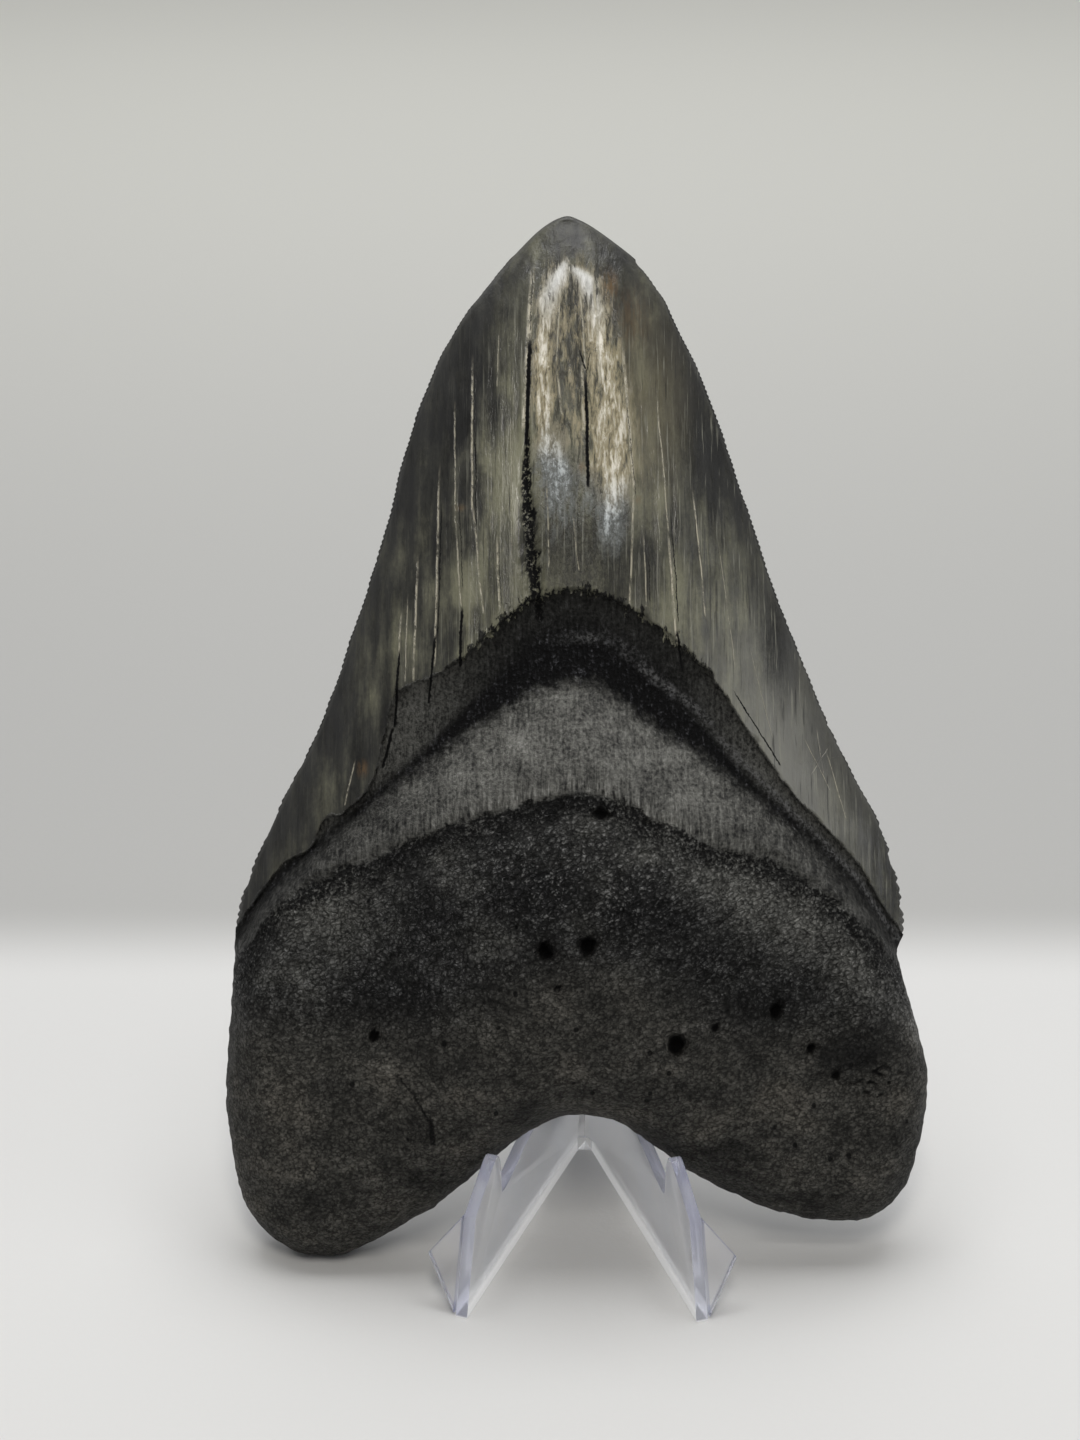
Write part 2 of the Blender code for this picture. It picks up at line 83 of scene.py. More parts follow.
ROOT_LEFT = [
    (-47.6, 7.6), (-49.3, 13.3), (-50.2, 20.5), (-50.2, 27.7), (-49.8, 34.9), (-49.3, 42.1),
]
ROOT_RIGHT = [
    (45.8, 7.7), (48.4, 12.2), (50.1, 19.0), (50.8, 25.5), (49.6, 32.0), (47.9, 37.8),
    (47.0, 41.5),
]
ROOT_LOWER = [
    (-47.6, 7.6), (-44.0, 2.9), (-39.7, 0.5), (-33.9, 0.2), (-28.1, 2.7), (-22.4, 6.2),
    (-16.6, 10.2), (-10.8, 15.4), (-6.5, 18.6), (-2.2, 20.7), (2.2, 20.8), (6.5, 19.6),
    (12.3, 15.6), (16.6, 12.3), (22.4, 9.4), (28.1, 6.8), (35.4, 5.3), (41.1, 5.3),
    (45.8, 7.7),
]
LEFT_SHOULDER = [(-49.3, 42.1), (-49.2, 44.8), (-49.1, 47.4)]
RIGHT_SHOULDER = [(47.0, 41.5), (46.5, 44.2), (47.4, 46.4)]

# Lines across the lingual face, left to right.
ENAMEL_FRONT = [
    (-49.1, 47.4), (-42.4, 56.3), (-38.2, 58.8), (-35.6, 63.6), (-33.0, 64.2), (-29.0, 68.7),
    (-27.1, 75.3), (-25.5, 81.1), (-19.5, 84.0), (-15.2, 86.9), (-7.9, 93.4), (-2.2, 95.5),
    (3.6, 95.0), (9.4, 92.0), (18.0, 85.0), (23.5, 77.1), (29.9, 68.0), (35.6, 62.0),
    (40.8, 56.3), (44.0, 50.9), (47.4, 46.4),
]
DOME_FRONT = [
    (-49.2, 44.8), (-42.6, 53.7), (-33.9, 60.9), (-24.1, 69.0), (-17.0, 74.2), (-12.3, 77.1),
    (-6.1, 81.0), (1.3, 82.6), (5.1, 80.8), (10.1, 76.6), (16.0, 73.0), (21.5, 69.0),
    (29.3, 63.1), (39.7, 53.2), (46.5, 44.2),
]
ROOT_FRONT = [
    (-49.3, 42.1), (-42.6, 50.6), (-35.4, 55.1), (-28.1, 57.8), (-18.9, 62.0), (-7.5, 65.5),
    (1.3, 67.2), (8.7, 64.2), (19.8, 59.4), (27.1, 57.6), (36.8, 51.6), (41.1, 47.7),
    (47.0, 41.5),
]

# The same lines on the labial face, where the band is narrow and its arch is shallow.
ENAMEL_BACK = [
    (-49.1, 47.4), (-40.0, 51.5), (-25.0, 57.0), (-10.0, 60.4), (0.0, 61.2), (10.0, 60.2),
    (25.0, 56.4), (39.0, 50.6), (47.4, 46.4),
]
DOME_BACK = [
    (-49.2, 44.8), (-40.0, 49.3), (-25.0, 54.9), (-10.0, 58.2), (0.0, 59.0), (10.0, 58.0),
    (25.0, 54.2), (39.0, 48.4), (46.5, 44.2),
]
ROOT_BACK = [
    (-49.3, 42.1), (-40.0, 46.9), (-25.0, 52.6), (-10.0, 56.0), (0.0, 56.8), (10.0, 55.8),
    (25.0, 52.0), (39.0, 46.0), (47.0, 41.5),
]

# Depth of the crown's middle over its cutting edges, by height s.
CROWN_FRONT_DEPTH = [
    (45.0, 14.4), (60.0, 13.8), (80.0, 12.0), (95.0, 10.3), (110.0, 8.5), (125.0, 6.5),
    (138.0, 4.4), (146.0, 2.3), (150.1, 0.0),
]
CROWN_BACK_DEPTH = [
    (45.0, 7.4), (60.0, 6.8), (80.0, 5.6), (95.0, 4.8), (110.0, 4.0), (125.0, 3.1),
    (138.0, 2.2), (146.0, 1.2), (150.1, 0.0),
]
# Depth of the root's middle, by level: 0 lower outline, 1 root's upper edge, 2 top of the
# dome, 3 enamel edge.
ROOT_FRONT_DEPTH = [
    (0.0, 13.0), (0.15, 14.6), (0.35, 18.4), (0.55, 21.2), (0.75, 22.0), (0.9, 20.4),
    (1.0, 18.4), (1.5, 17.0), (2.0, 13.6), (2.5, 11.2), (3.0, 10.0),
]
ROOT_BACK_DEPTH = [(0.0, 7.0), (0.5, 7.8), (1.0, 7.2), (2.0, 6.9), (3.0, 6.7)]
LOBE_SHARE = 0.5  # the lobes' depth as a share of the middle's
LOBE_REACH = 26.0  # how far from the middle the root thins towards its lobes
# For each face: both depth tables, how full the crown's section is, the width of the
# rounding along the root's outline, and the seed of the swells.
FACE_SHAPES = {
    "front": (CROWN_FRONT_DEPTH, ROOT_FRONT_DEPTH, 0.95, 9.0, 0.0),
    "back": (CROWN_BACK_DEPTH, ROOT_BACK_DEPTH, 0.6, 7.0, 5.0),
}

# ---- tooth: mesh and fine relief
COLUMNS = 240
ROWS = {"root": 96, "dome": 26, "band": 20, "crown": 140}
RIM_STEPS = 6  # rim vertices for each row of the crown, so that the serrations are round
RIM_WIDTH = 0.7
# How much rows and columns crowd.
ROOT_START = 0.2  # rows at the root's lower outline
LINE_CROWDING = 0.75  # rows at the lines across the tooth
CROWN_POWER = 1.15  # rows above the enamel's edge
SIDE_START = 0.12  # columns at the outline

# Relief made of noise: its height, its cells' width and height, its seed.
FLUTES = [(0.30, 7.5, 60.0, 3.0), (0.09, 1.9, 26.0, 7.0), (0.05, 3.0, 3.5, 9.0)]
BARK = [(0.10, 1.0, 1.3, 21.0), (0.14, 3.2, 4.5, 23.0)]
ROOT_SWELL = [(0.36, 3.8, 3.8, 43.0)]
ROOT_ROUGHENS = (26.0, 44.0)  # heights s between which the root's grain grows
RELIEF_FADE = 1.6  # the relief fades out this close to the outline
# Nutrient holes: x, s, radius, depth.
FORAMINA_FRONT = [
    (-4.3, 45.7, 1.0, 2.4), (1.5, 46.4, 1.1, 2.2), (13.8, 32.6, 1.15, 2.6),
    (27.8, 36.9, 1.0, 2.0), (32.8, 31.2, 0.7, 1.4), (-28.2, 33.4, 0.7, 1.3),
    (3.2, 64.7, 1.0, 1.2), (19.2, 34.6, 0.5, 0.9), (36.6, 27.6, 0.6, 1.0), (-2.6, 40.6, 0.4, 0.6),
]
FORAMINA_BACK = [(-9.0, 37.0, 1.0, 1.8), (3.5, 42.0, 0.8, 1.4), (19.0, 33.5, 1.1, 1.8)]
HOLE_STRETCH = 1.25  # the holes are this much taller than wide
ROUGH_PATCH = (42.6, 26.6, 4.6, 3.2)  # x, s and half sizes of the scabby spot on the right lobe
OPEN_CRACK_DEPTH = 0.9
# The open crack of the lingual face, as (x, s, half width) from the top down.
OPEN_CRACK = [
    (-6.6, 119.5, 0.1), (-7.0, 115.0, 0.5), (-7.1, 111.5, 1.0), (-6.7, 105.0, 1.2),
    (-6.2, 99.0, 1.3), (-5.6, 94.5, 1.0), (-5.2, 91.0, 0.3),
]
FRAY_HEIGHT = 9.0  # how far the band's bark frays over the enamel, end to end
# Thin dark cracks: x and s of the top, x and s of the foot, half width, strength.
DARK_LINES = [
    (-6.1, 142.5, -6.4, 131.8, 0.07, 0.7), (-6.4, 133.0, -7.0, 115.0, 0.34, 1.0),
    (0.4, 129.6, 1.4, 126.4, 0.12, 0.9), (2.2, 129.4, 1.5, 125.8, 0.08, 0.8),
    (1.4, 127.2, 1.75, 109.0, 0.27, 1.0), (-16.1, 93.5, -16.3, 84.0, 0.24, 1.0),
    (-19.7, 90.0, -20.8, 78.8, 0.20, 1.0), (-24.9, 88.0, -25.7, 75.4, 0.20, 1.0),
    (-25.7, 76.4, -27.4, 69.8, 0.24, 1.0), (14.1, 90.0, 15.0, 83.4, 0.18, 0.9),
    (21.6, 82.0, 29.2, 70.0, 0.14, 0.9), (-14.25, 120.0, -14.05, 104.0, 0.10, 0.8),
    (-16.6, 110.0, -15.9, 95.0, 0.08, 0.6), (-18.9, 110.0, -19.5, 88.0, 0.10, 0.7),
    (7.0, 124.0, 8.5, 108.0, 0.08, 0.6), (13.3, 108.0, 14.5, 90.0, 0.10, 0.7),
    (-10.8, 101.0, -10.4, 92.5, 0.08, 0.6), (10.2, 101.0, 10.4, 93.0, 0.08, 0.6),
]
ROOT_CRACKS = [
    (-25.4, 27.8, -22.7, 24.6, 0.14, 0.8), (-23.0, 25.2, -20.3, 20.4, 0.22, 0.9),
    (-20.4, 21.6, -20.0, 17.2, 0.40, 1.0), (-7.4, 77.5, -4.6, 73.6, 0.12, 0.8),
    (21.8, 38.6, 24.2, 35.8, 0.10, 0.8), (37.4, 27.4, 41.8, 29.6, 0.14, 0.9),
]
# The flaky strip between the cracks, as (s, left x, right x).
FLAKY_STRIP = [
    (96.0, -4.0, 4.0), (104.0, -5.4, 7.4), (117.0, -6.4, 7.4), (131.0, -6.0, 6.4),
    (139.0, -5.6, 4.6), (145.0, -3.6, 1.8),
]
FLAKY_START = (96.0, 108.0)  # heights s between which the strip fades in
FLAKY_END = (140.0, 146.0)  # and between which it fades out
# Pale flaked bands in the strip, each a path of (x, s, half width) from the top down.
PALE_BANDS = [
    [(-1.4, 143.3, 0.6), (-2.4, 141.0, 1.5), (-3.9, 137.8, 1.5), (-4.7, 131.5, 1.2),
     (-4.9, 124.5, 1.6), (-4.6, 119.8, 1.3), (-4.0, 116.6, 1.6), (-3.1, 113.6, 2.5),
     (-2.5, 110.4, 2.4), (-2.4, 105.5, 1.4)],
    [(-1.0, 142.6, 0.8), (1.3, 140.6, 1.7), (2.7, 136.2, 1.4), (3.4, 131.5, 1.8),
     (4.1, 126.9, 2.5), (4.6, 123.1, 3.0), (4.9, 119.2, 3.3), (5.0, 115.0, 3.3),
     (5.0, 110.9, 3.2), (4.7, 106.6, 2.8), (4.8, 101.0, 1.8)],
]
# Hairline cracks filled with pale silt: x and s of the top, x and s of the foot, half
# width, strength.
HAIRLINES = [
    (-14.7, 129.5, -14.6, 106.0, 0.17, 1.0), (-14.6, 108.0, -13.0, 91.5, 0.15, 0.9),
    (-17.2, 122.8, -17.0, 104.0, 0.12, 0.8), (-17.0, 106.0, -16.2, 92.5, 0.12, 0.8),
    (-19.3, 114.0, -19.9, 83.6, 0.16, 0.9), (-22.4, 101.4, -22.9, 82.0, 0.17, 0.9),
    (-23.8, 95.0, -24.1, 82.0, 0.10, 0.7), (-24.7, 92.5, -25.2, 83.0, 0.14, 0.8),
    (-10.9, 132.6, -11.1, 124.0, 0.10, 0.6), (-11.1, 103.0, -10.7, 92.0, 0.16, 0.9),
    (-6.0, 143.0, -7.3, 117.5, 0.40, 1.0), (-7.6, 112.0, -7.4, 104.0, 0.22, 0.8),
    (-2.0, 141.0, -2.8, 127.0, 0.14, 0.9), (-2.8, 127.5, -1.9, 119.7, 0.18, 0.9),
    (0.5, 141.0, 1.4, 126.0, 0.16, 0.9), (2.4, 142.0, 3.6, 124.0, 0.22, 1.0),
    (6.6, 131.2, 8.2, 109.0, 0.23, 1.0), (0.95, 128.6, 1.1, 117.5, 0.24, 1.0),
    (8.2, 110.4, 7.5, 92.4, 0.16, 0.8), (11.4, 125.5, 13.1, 103.0, 0.12, 0.8),
    (13.0, 104.0, 14.2, 86.5, 0.18, 1.0), (16.5, 110.6, 18.4, 91.0, 0.13, 0.9),
    (9.5, 103.2, 9.9, 92.4, 0.12, 0.7), (-4.1, 111.6, -3.8, 98.0, 0.12, 0.7),
    (-0.5, 106.0, 0.4, 97.6, 0.12, 0.7), (20.2, 103.0, 22.6, 84.0, 0.08, 0.5),
    (-9.2, 121.0, -9.0, 99.0, 0.08, 0.4), (5.0, 137.0, 5.6, 113.0, 0.10, 0.5),
    (-31.2, 71.5, -32.8, 64.5, 0.12, 0.7), (35.9, 72.5, 38.7, 62.5, 0.10, 0.6),
    (24.5, 88.0, 28.0, 74.0, 0.06, 0.4),
]
# Crossing scratches on the enamel's lower right part, in the same form.
SCRATCHES = [
    (32.6, 74.4, 36.4, 66.6, 0.07, 0.7), (36.6, 73.2, 33.2, 68.6, 0.06, 0.6),
    (34.6, 76.0, 35.4, 69.0, 0.06, 0.5), (31.0, 70.4, 38.2, 71.6, 0.05, 0.45),
]
# Rust stains: x, s, half width, half height, strength.
STAINS = [
    (4.9, 138.8, 1.2, 2.4, 0.9), (8.0, 134.0, 2.4, 4.5, 0.4), (-30.2, 69.8, 0.8, 1.2, 0.8),
    (-16.5, 106.8, 0.9, 0.5, 0.6), (8.6, 107.8, 0.6, 0.6, 0.6), (0.9, 112.4, 0.6, 0.9, 0.8),
]
# Chips in the cutting edges: side, s, half length, depth.
CHIPS = [
    (-1, 62.3, 1.1, 0.8), (-1, 54.0, 0.8, 0.5), (-1, 71.0, 0.6, 0.4), (1, 146.2, 0.9, 0.6),
    (1, 143.2, 0.5, 0.4), (1, 57.0, 0.9, 0.6), (1, 50.5, 0.8, 0.6), (1, 76.5, 0.5, 0.4),
]
# Spacing and depth of the serrations, by height s.
SERRATION_PITCH = [(46.0, 1.3), (60.0, 1.05), (80.0, 0.85), (120.0, 0.75), (151.0, 0.65)]
SERRATION_DEPTH = [
    (46.0, 0.5), (60.0, 0.45), (80.0, 0.34), (125.0, 0.26), (140.0, 0.16), (146.0, 0.0),
]
SLOW_PITCH = 2.3  # of the unevenness in the serrations' spacing
EDGE_WEAR = 0.22  # slow unevenness of the cutting edges
EDGE_WEAR_PITCH = 6.0
WEAR_ENDS = (150.0, 140.0)  # heights s between which it grows, from the tip down
RING_SHARE = 0.4  # how much of an edge vertex's shift the vertices beside it make
OUTLINE_WEAR = 0.28  # unevenness of the root's outline
OUTLINE_WEAR_PITCH = 3.2

# ---- tooth: colours and the places that have one of their own
def grey(level, warmth=0.0):
    """Linear grey, more olive for a positive warmth and bluer for a negative one."""
    return (level * (1 + 0.1 * warmth), level, level * (1 - 1.8 * warmth), 1.0)


# Linear colours, and ramps of (tone, colour) from dark to pale.
SILT = (0.50, 0.465, 0.36, 1.0)
RUST = (0.15, 0.090, 0.040, 1.0)
OCHRE = (0.125, 0.110, 0.070, 1.0)
UMBER = (0.030, 0.027, 0.019, 1.0)
CREAM = (0.37, 0.32, 0.20, 1.0)
# Chalk is partly the bared flakes' own colour and partly a painted highlight; the tip's white is a
# painted highlight; silver and blue-white are painted reflection glints on the strip's lower part.
CHALK_AND_HIGHLIGHT = (0.93, 0.89, 0.78, 1.0)
TIP_HIGHLIGHT = (0.74, 0.77, 0.80, 1.0)
SILVER_GLINT = (0.14, 0.15, 0.145, 1.0)
BLUE_WHITE_GLINT = (0.60, 0.64, 0.65, 1.0)
CROWN_TONES = [
    (0.36, grey(0.015, 0.03)), (0.45, grey(0.036, 0.09)), (0.53, grey(0.086, 0.14)),
    (0.60, grey(0.158, 0.17)), (0.68, grey(0.215, 0.17)),
]
# the band's palest tone paints bluish glints
BAND_TONES = [
    (0.44, grey(0.0010)), (0.53, grey(0.003, -0.03)), (0.60, grey(0.018, -0.06)),
    (0.68, grey(0.10, -0.06)),
]
DOME_TONES = [
    (0.38, grey(0.010)), (0.45, grey(0.040, 0.03)), (0.52, grey(0.088, 0.05)),
    (0.62, grey(0.17, 0.05)), (0.74, grey(0.34, 0.03)),
]
OLIVE_TONES = [(0.30, grey(0.010)), (0.5, grey(0.038, 0.03)), (0.70, grey(0.098, 0.05))]
BROWN_TONES = [
    (0.30, (0.027, 0.0265, 0.0242, 1.0)), (0.5, (0.066, 0.064, 0.057, 1.0)),
    (0.70, (0.110, 0.103, 0.089, 1.0)),
]
# Soft oval spots: x, s, half width, half height.
SHOULDER_SHADE = [(-15.0, 131.0, 7.0, 15.0), (19.0, 118.0, 6.0, 18.0)]
DARK_CROWN = [
    (28.5, 88.0, 2.4, 8.0), (44.8, 51.5, 4.6, 8.0), (20.0, 116.0, 4.5, 10.0),
    (1.0, 99.0, 10.0, 8.5),
]
# painted sheen: a paler spot on the crown's lower right flank
PAINTED_SHEEN_FLANK = (30.0, 72.0, 14.0, 22.0)
WARM_CROWN = (10.5, 121.0, 5.0, 13.0)
MATT_CROWN = (1.0, 97.0, 13.0, 9.0)
PALE_ROOT = [
    (-34.0, 49.0, 7.0, 5.0), (13.0, 60.0, 6.0, 3.0), (22.5, 54.5, 8.0, 4.5),
    (32.0, 48.5, 8.0, 5.5), (38.5, 42.5, 5.0, 5.0),
]
DARK_ROOT = [
    (-20.0, 48.0, 9.0, 6.0), (-6.0, 53.0, 12.0, 6.0), (8.0, 50.0, 9.0, 5.5),
    (18.0, 43.0, 9.0, 5.0), (28.0, 37.0, 9.0, 4.5), (39.0, 31.0, 7.0, 4.5),
    (-47.0, 44.0, 3.0, 9.0), (-25.0, 38.5, 13.0, 4.5),
]
SMOOTH_ROOT = (1.0, 39.0, 15.0, 8.0)
# where the root's painted glints are strongest
GLINTING_ROOT = (2.0, 57.0, 14.0, 8.0)

# ---- stand
PLATE_LENGTH = 51.0  # spine to foot, along a plate
PLATE_THICKNESS = 1.8
HALF_ANGLE = math.radians(19.3)  # between a plate and the stand's middle plane
STAND_TURN = math.radians(-1.4)
SPINE_HEIGHT = 46.6
PAST_SPINE = -2.5  # a plate is drawn past the middle plane, where the mirror cuts it
# Profile of a plate, as (distance from the spine, height).
FRONT_KNEE = (47.3, 14.6)
HOOK_OUTER = (40.9, 18.7)
HOOK_TOP = (38.9, 19.5)
HOOK_INNER = (37.7, 18.0)
NOTCH = (37.2, 12.6)  # lowest point of the cradle
LEDGE = (28.4, 14.6)
CRADLE = (22.0, 16.4)
REST_FOOT = (17.0, 20.2)
REST_TOP = (1.0, SPINE_HEIGHT)
SPINE_BLOCK = (1.1, 5.8, 2.6)  # half width, reach towards the front, height
SPINE_BLOCK_BACK = 1.0  # how far in front of the spine the block ends
FLANGE_REACH = 4.7
FLANGE_HEIGHT = 7.9
FLANGE_TOP = 14.2
FLANGE_THICKNESS = 1.2
FLUSH_GAP = 0.2  # keeps the joined pieces' faces off the plate's, so that they join cleanly
EDGE_ROUND = 0.22
ROUNDED_ABOVE = math.radians(40)  # angles between faces
SHARP_ABOVE = math.radians(35)
MERGE_REACH = 0.02  # the mirrored halves' points are joined within this
# Name, two tints, transmission, IOR, and the heights between which the painted white glow of the
# foot ends.
STAND_LOOKS = [
    ("stand plates", (0.96, 0.97, 1.0, 1.0), (0.99, 0.99, 1.0, 1.0), 0.68, 1.16, (1.5, 2.7)),
    ("stand edges", (0.60, 0.62, 0.82, 1.0), (0.74, 0.76, 0.90, 1.0), 0.80, 1.25, (0.1, 0.5)),
    ("stand flanges", (0.97, 0.97, 1.0, 1.0), (0.99, 0.99, 1.0, 1.0), 0.90, 1.2, (0.1, 0.3)),
]
# white of the foot's painted glow
STAND_FOOT_GLOW = (0.96, 0.965, 0.97, 1.0)

# ---- floor, lights and camera
FLOOR_HALF = 1.6  # in metres
# The floor's darker band behind the tooth is painted shade.
FLOOR_TURN = (56.0, 84.0)  # y between which the floor's tone turns darker behind the tooth
FLOOR_FAR = 900.0  # y at which it has grown pale again
# Near the tooth, past the turn where the painted shade lies, and far away.
FLOOR_TONES = (grey(0.70, 0.006), grey(0.44, 0.014), grey(0.85, 0.04))
MIDDLE = (0.0, 0.0, 0.08)  # of the part, where most lights point
# Name, place, target and size in metres, watts, colour.
LIGHTS = [
    ("key softbox", (0.0, -0.42, 0.62), MIDDLE, (0.13, 0.26), 1.55, (1.0, 0.96, 0.90)),
    ("overhead", (0.0, 0.18, 0.85), MIDDLE, (0.7, 0.5), 5.1, (1.0, 1.0, 1.0)),
    ("far overhead", (0.0, 0.95, 0.8), (0.0, 0.95, 0.0), (1.8, 0.8), 3.1, (1.0, 1.0, 1.0)),
    ("right fill", (0.75, -0.35, 0.35), MIDDLE, (0.4, 0.4), 0.65, (0.95, 0.97, 1.0)),
]
WORLD_COLOUR = (0.97, 0.98, 1.0, 1.0)
WORLD_STRENGTH = 0.21
LENS = 69.3  # on a 36 mm sensor along the picture's long side
CAMERA_DISTANCE = 400.0
AIM_OFFSET = (-5.05, 76.77)  # x and s of the point of the tooth's plane at the picture's centre
PLANE_FOOT = (-0.235, -23.21, 0.7)  # where x = 0, s = 0 of the tooth's plane lies


# ---- curves
def smooth(points, per_span=12):
    """Dense points of a Catmull-Rom curve through the given ones."""
    p = np.array(points, float)
    p = np.vstack([2 * p[0] - p[1], p, 2 * p[-1] - p[-2]])
    t = np.linspace(0.0, 1.0, per_span, endpoint=False)[:, None]
    spans = []
    for a, b, c, d in zip(p, p[1:], p[2:], p[3:]):
        bend = (2 * a - 5 * b + 4 * c - d) * t**2 + (3 * b - a - 3 * c + d) * t**3
        spans.append(0.5 * (2 * b + (c - a) * t + bend))
    return np.vstack([*spans, p[-2][None]])


def along(curve, shares):
    """Points of a dense curve at the given shares of its length."""
    steps = np.hypot(*np.diff(curve, axis=0).T)
    length = np.concatenate([[0.0], np.cumsum(steps)])
    at = np.asarray(shares) * length[-1]
    return np.stack([np.interp(at, length, curve[:, axis]) for axis in (0, 1)], -1)


def value(table, at):
    """A smooth curve through (place, value) pairs, read at the given places."""
    curve = smooth(table)
    return np.interp(at, curve[:, 0], curve[:, 1])


def smoothstep(low, high, at):
    t = np.clip((at - low) / (high - low), 0.0, 1.0)
    return t * t * (3 - 2 * t)


def bell(distance, width):
    """1 at no distance, falling off to nothing at about twice the width."""
    return np.exp(-((distance / width) ** 2))


def patch(bottom, top, left, right, across, up):
    """Points of a Coons patch between four edges: a row of shares across for each share up."""
    u = across[..., None]
    v = up[:, None, None]
    ruled = (1 - v) * along(bottom, across) + v * along(top, across)
    ruled += (1 - u) * left[:, None] + u * right[:, None]
    corners = (
        (1 - u) * (1 - v) * bottom[0] + u * (1 - v) * bottom[-1]
        + (1 - u) * v * top[0] + u * v * top[-1]
    )
    return ruled - corners


def distance_to(curve, points, chunk=4000):
    """Distance from each point to the nearest stretch of a curve."""
    start = curve[:-1]
    step = np.diff(curve, axis=0)
    found = []
    for first in range(0, len(points), chunk):
        offset = points[first : first + chunk, None, :] - start
        share = np.clip((offset * step).sum(-1) / (step**2).sum(-1), 0.0, 1.0)
        found.append(np.sqrt(((offset - share[..., None] * step) ** 2).sum(-1).min(-1)))
    return np.concatenate(found)


def field(points, wide, high, seed, octaves=2, dimension=0.8):
    """Fractal noise, about -1 to 1, with cells of the given width and height."""
    scaled = points / (wide, high)
    places = (Vector((x, s, seed)) for x, s in scaled)
    return np.array([noise.fractal(place, dimension, 2.1, octaves) for place in places])


def drift(length, pitch, row, seed):
    """Noise along a line, from -1 to 1."""
    return np.array([noise.noise(Vector((a / pitch, row, seed))) for a in length])


# ---- the tooth's plane
OUTLINE_LEFT = smooth(CROWN_LEFT + TIP[1:3])
OUTLINE_RIGHT = smooth(CROWN_RIGHT + TIP[-2:1:-1])
CROWN_OUTLINE = smooth(CROWN_LEFT + TIP[1:-1] + CROWN_RIGHT[::-1], 4)
ROOT_OUTLINE = smooth(
    LEFT_SHOULDER[::-1] + ROOT_LEFT[-2::-1] + ROOT_LOWER[1:] + ROOT_RIGHT[1:] + RIGHT_SHOULDER[1:],
    4,
)
FACE_LINES = {
    "front": (ROOT_FRONT, DOME_FRONT, ENAMEL_FRONT),
    "back": (ROOT_BACK, DOME_BACK, ENAMEL_BACK),
}
BLOCKS = ("root", "dome", "band", "crown")
ENAMEL_ROW = ROWS["root"] + ROWS["dome"] + ROWS["band"]
LAST_ROW = ENAMEL_ROW + ROWS["crown"]


def soft_start(t, reach):
    """Shares that lie close together near 0 and evenly from about `reach` on."""
    return t * (1 - np.exp(-t / reach)) / (1 - math.exp(-1 / reach))


def up_shares(name, t):
    """Where rows lie between a block's lower and upper line, for t from 0 to 1."""
    if name == "root":
        return soft_start(t, ROOT_START)
    if name == "crown":
        return t**CROWN_POWER
    return t - LINE_CROWDING * np.sin(2 * math.pi * t) / (2 * math.pi)


def face_blocks(face):
    """The four patches of a face, from the root up: lower and upper line, sides, their span."""
    root, dome, enamel = (smooth(table) for table in FACE_LINES[face])
    shoulders = (smooth(LEFT_SHOULDER), smooth(RIGHT_SHOULDER))
    return {
        "root": (smooth(ROOT_LOWER), root, smooth(ROOT_LEFT), smooth(ROOT_RIGHT), 0.0, 1.0),
        "dome": (root, dome, *shoulders, 0.0, 0.5),
        "band": (dome, enamel, *shoulders, 0.5, 1.0),
        "crown": (enamel, smooth(TIP), smooth(CROWN_LEFT), smooth(CROWN_RIGHT), 0.0, 1.0),
    }


def block_grid(face, name, t, rim_only=False):
    """Plane points and levels of one block, a row for each t.

    The whole grid has COLUMNS + 1 points a row. The rim has four: both outline points and
    the two points that lie RIM_WIDTH inside them.
    """
    bottom, top, left, right, low, high = face_blocks(face)[name]
    up = up_shares(name, t)
    sides = [along(edge, low + (high - low) * up) for edge in (left, right)]
    width = np.hypot(*(sides[1] - sides[0]).T)
    half = soft_start(np.linspace(0.0, 1.0, COLUMNS // 2 + 1), SIDE_START)
    spread = np.concatenate([0.5 * half, 1 - 0.5 * half[-2::-1]])
    level = BLOCKS.index(name) + up
    rimmed = smoothstep(1.0, 3.0, level)
    first = spread[1] + (RIM_WIDTH / width - spread[1]) * rimmed
    inner = (spread[1:-1] - spread[1]) / (spread[-2] - spread[1])
    if rim_only:
        inner = np.array([0.0, 1.0])
    across = first[:, None] + (1 - 2 * first[:, None]) * inner
    across = np.pad(across, ((0, 0), (1, 1)), constant_values=(0.0, 1.0))
    grid = patch(bottom, top, *sides, across, up)
    return grid, np.broadcast_to(level[:, None], grid.shape[:2])


def whole_grid(face):
    """Plane points and levels of a whole face, from the root's lower outline to the tip."""
    points = []
    levels = []
    for name in BLOCKS:
        grid, level = block_grid(face, name, np.linspace(0.0, 1.0, ROWS[name] + 1))
        kept = slice(0 if name == "root" else 1, None)
        points.append(grid[kept])
        levels.append(level[kept])
    return np.concatenate(points), np.concatenate(levels)


# ---- depth
def crown_section(points):
    """How far across the crown a point lies: -1 and 1 on its cutting edges."""
    x, s = points[..., 0], points[..., 1]
    left = np.interp(s, OUTLINE_LEFT[:, 1], OUTLINE_LEFT[:, 0])
    right = np.interp(s, OUTLINE_RIGHT[:, 1], OUTLINE_RIGHT[:, 0])
    width = np.maximum(right - left, 1e-6)
    return np.clip(2 * (x - left) / width - 1, -1.0, 1.0)


def middle_depth(points):
    """Depth of the surface half way through the tooth, where the outline lies."""
    x, s = points[..., 0], points[..., 1]
    arch = ARCH_FORWARD * bell(x, ARCH_WIDTH) * (1 - smoothstep(*ARCH_FADE, s))
    share = np.clip((s - BOW_FOOT) / (SLANT_HEIGHT - BOW_FOOT), 0.0, 1.0)
    bow = CROWN_BOW * np.sin(np.pi * share)
    return arch + bow


